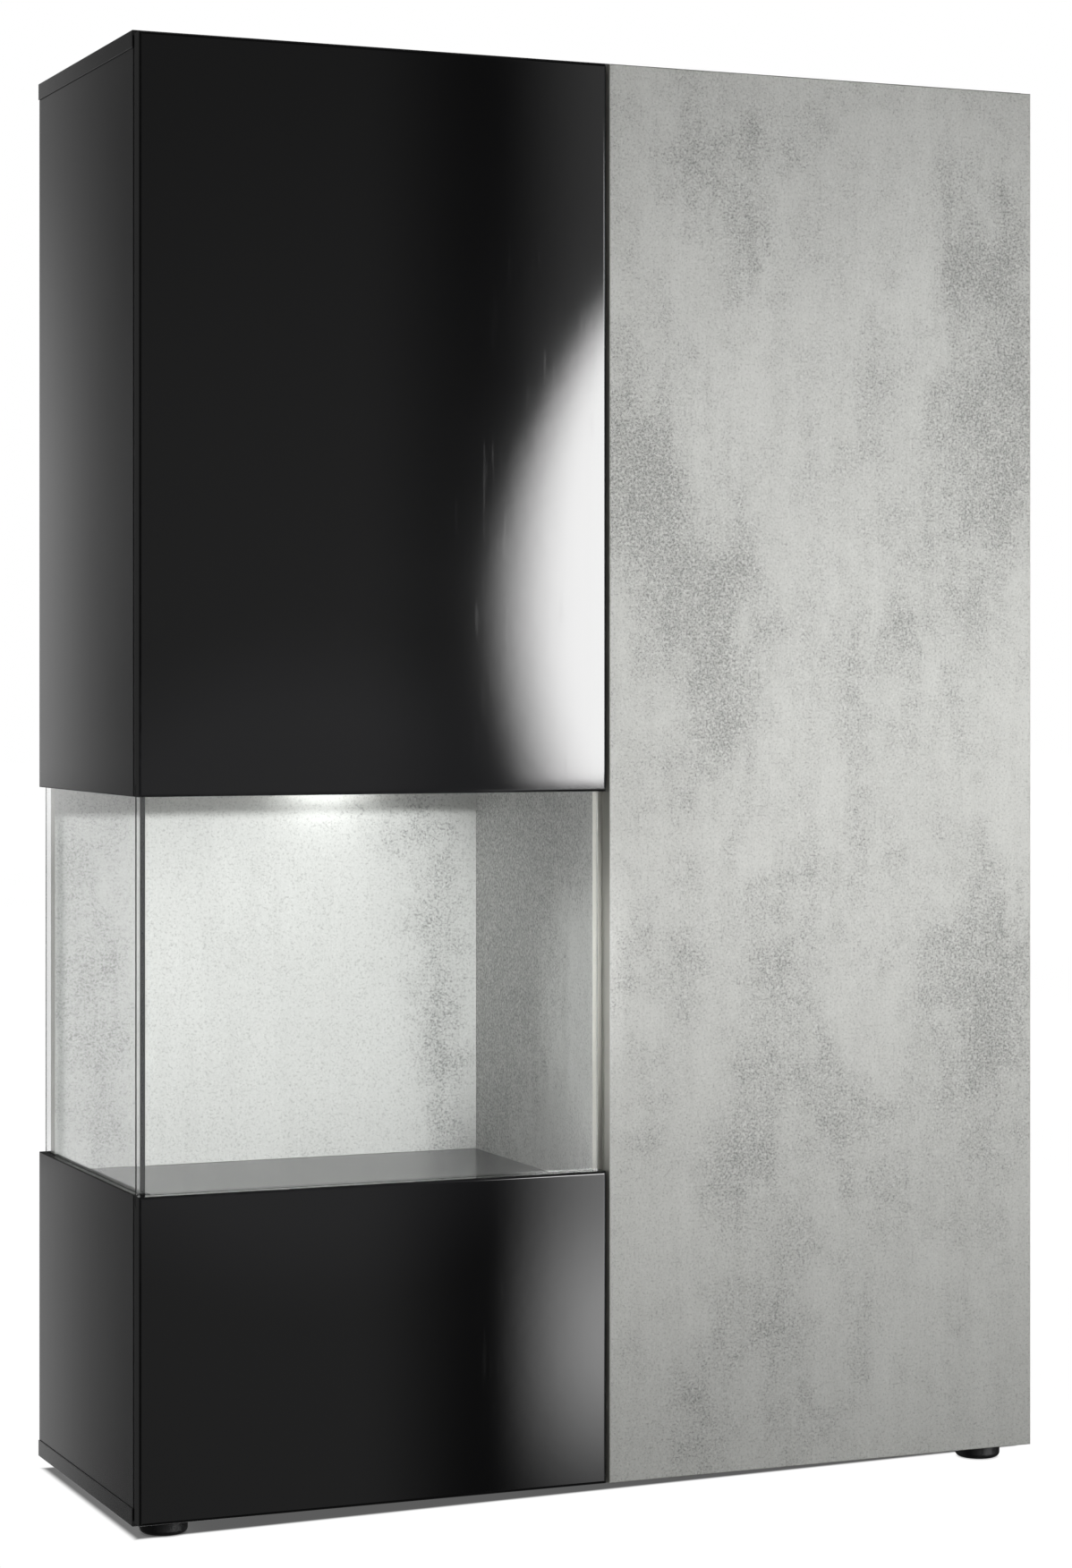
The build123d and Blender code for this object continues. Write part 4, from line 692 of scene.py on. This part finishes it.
def hang(name, data, centre, target):
    """Places a lamp that points at target. It lights the scene, but isn't seen in it or mirrored."""
    lamp = bpy.data.objects.new(name, data)
    bpy.context.scene.collection.objects.link(lamp)
    lamp.location = centre
    lamp.rotation_euler = (Vector(centre) - Vector(target)).to_track_quat("Z", "Y").to_euler()
    lamp.visible_camera = False
    lamp.visible_glossy = False
    lamp.visible_transmission = False


def area(name, size, centre, target, power):
    """A rectangular lamp. size is its width and height."""
    data = bpy.data.lights.new(name, "AREA")
    data.shape = "RECTANGLE"
    data.size, data.size_y = size
    data.energy = power
    hang(name, data, centre, target)


def beam(name, centre, target, power, angle, blend, radius):
    """A spot lamp. angle is its cone in degrees, and blend the soft share of the cone."""
    data = bpy.data.lights.new(name, "SPOT")
    data.energy = power
    data.spot_size = math.radians(angle)
    data.spot_blend = blend
    data.shadow_soft_size = radius
    data.color = BEAM_COLOUR
    hang(name, data, centre, target)


def add_strip():
    """The glow of the display's own lamp: a strip light between its lens and the back board."""
    lens_low, lens_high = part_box("led_spot_lens")
    x = ((lens_low + lens_high) / 2).x
    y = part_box("display_back_board")[0].y - STRIP_GAP
    area("display_lamp", STRIP_SIZE, (x, y, lens_low.z - STRIP_DROP), (x, y, 0.0), STRIP_POWER)


def add_world():
    """White to the camera, dim as a light, and dimmer still in gloss that mirrors what is in front."""
    world = bpy.data.worlds.new("studio")
    bpy.context.scene.world = world
    world.use_nodes = True
    tree = world.node_tree
    tree.nodes.clear()
    path = tree.nodes.new("ShaderNodeLightPath")
    direction = tree.nodes.new("ShaderNodeTexCoord")
    split = tree.nodes.new("ShaderNodeSeparateXYZ")
    tree.links.new(direction.outputs["Generated"], split.inputs[0])
    mirrored = tree.nodes.new("ShaderNodeMapRange")
    for socket, value in zip(mirrored.inputs[1:5], (-WORLD_TURN, WORLD_TURN, *WORLD_MIRRORED)):
        socket.default_value = value
    tree.links.new(split.outputs["Y"], mirrored.inputs[0])
    seen = tree.nodes.new("ShaderNodeMix")
    seen.inputs["A"].default_value = WORLD_LIGHT
    seen.inputs["B"].default_value = WORLD_SEEN
    tree.links.new(path.outputs["Is Camera Ray"], seen.inputs["Factor"])
    strength = tree.nodes.new("ShaderNodeMix")
    tree.links.new(seen.outputs["Result"], strength.inputs["A"])
    tree.links.new(mirrored.outputs[0], strength.inputs["B"])
    tree.links.new(path.outputs["Is Glossy Ray"], strength.inputs["Factor"])
    sky = tree.nodes.new("ShaderNodeBackground")
    sky.inputs["Color"].default_value = WHITE
    tree.links.new(strength.outputs["Result"], sky.inputs["Strength"])
    output = tree.nodes.new("ShaderNodeOutputWorld")
    tree.links.new(sky.outputs[0], output.inputs["Surface"])


def add_camera():
    """The camera stands to the left in front of the cabinet and looks level."""
    data = bpy.data.cameras.new("camera")
    data.lens = 83.4
    data.sensor_fit = "VERTICAL"
    data.sensor_height = 36.0
    data.shift_y = -0.0665
    data.clip_end = 100.0
    camera = bpy.data.objects.new("camera", data)
    bpy.context.scene.collection.objects.link(camera)
    camera.location = (-1.4065, -3.3588, 0.787)
    camera.rotation_euler = (math.radians(90.0), 0.0, math.radians(-22.7))
    bpy.context.scene.camera = camera


add_floor()

# What the gloss panels mirror: a disc in the upper one, a soft lamp in the lower one, and two dim walls.
card("key_card", low=(0.4, 0.615), high=(3.6, 2.6), y=-2.5, strength=19.6, fades=(),
     disc=(1.70, 0.91, 0.823, 0.105, 0.055))
card("right_wall", low=(0.8, -1.2), high=(3.6, 2.6), y=-2.49, strength=0.65, fades=(
    (X, 0.815, 1.05, 0.0, 1.0),
))
card("low_card", low=(0.8, -1.2), high=(3.6, 0.16), y=-2.51, strength=4.9, fades=(
    (X, 0.815, 1.04, 0.0, 1.0),
    (Z, -0.62, -0.30, 0.0, 1.0),
    (Z, -0.28, -0.04, 1.0, 0.5),
    (Z, -0.04, 0.15, 1.0, 0.0),
))
card("left_wall", low=(-2.4, -1.2), high=(0.9, 2.6), y=-2.52, strength=0.25, fades=(
    (X, 0.58, 0.81, 1.0, 0.0),
    (Z, 0.7, 2.0, 1.0, 0.55),
))

# What the satin left side mirrors, above and below its pane.
SIDE_FADES = ((X, -0.63, -0.49, 0.0, 1.0), (X, -0.23, -0.09, 1.0, 0.0))
card("side_card_high", low=(-0.9, 0.55), high=(0.0, 1.9), y=0.45, strength=1.02, fades=(
    (Z, 0.57, 0.70, 0.0, 1.0),
    (Z, 0.95, 1.45, 1.0, 0.4),
) + SIDE_FADES)
card("side_card_low", low=(-0.9, -0.6), high=(0.0, 0.36), y=0.45, strength=0.70, fades=(
    (Z, 0.25, 0.33, 1.0, 0.0),
) + SIDE_FADES)

# The lamps that carry the even light.
area("front", size=(0.5, 0.5), centre=(-1.25, -3.3, 1.10), target=(-0.1, 0.0, 0.6), power=4.0)
area("key", size=(0.5, 0.5), centre=(0.30, -1.17, 0.75), target=(0.24, 0.0, 0.75), power=8.8)
area("overhead", size=(2.6, 2.6), centre=(0.0, 1.4, 3.4), target=(0.0, 0.4, 0.0), power=10.0)
area("rear", size=(1.6, 2.0), centre=(-1.5, 3.2, 1.6), target=(0.0, 0.0, 0.7), power=20.0)

# A narrow beam into the display, and one along the front at the gap between the doors.
beam("display_beam", centre=(-0.55, -3.3, 0.96), target=(-0.285, 0.0, 0.50),
     power=440.0, angle=10.7, blend=0.22, radius=0.05)
beam("edge_beam", centre=(-2.3, -0.47, 0.60), target=(0.0, -0.18, 0.46),
     power=55.0, angle=9.0, blend=0.9, radius=0.03)
add_strip()

add_world()
add_camera()
bpy.context.scene.view_settings.view_transform = "Standard"
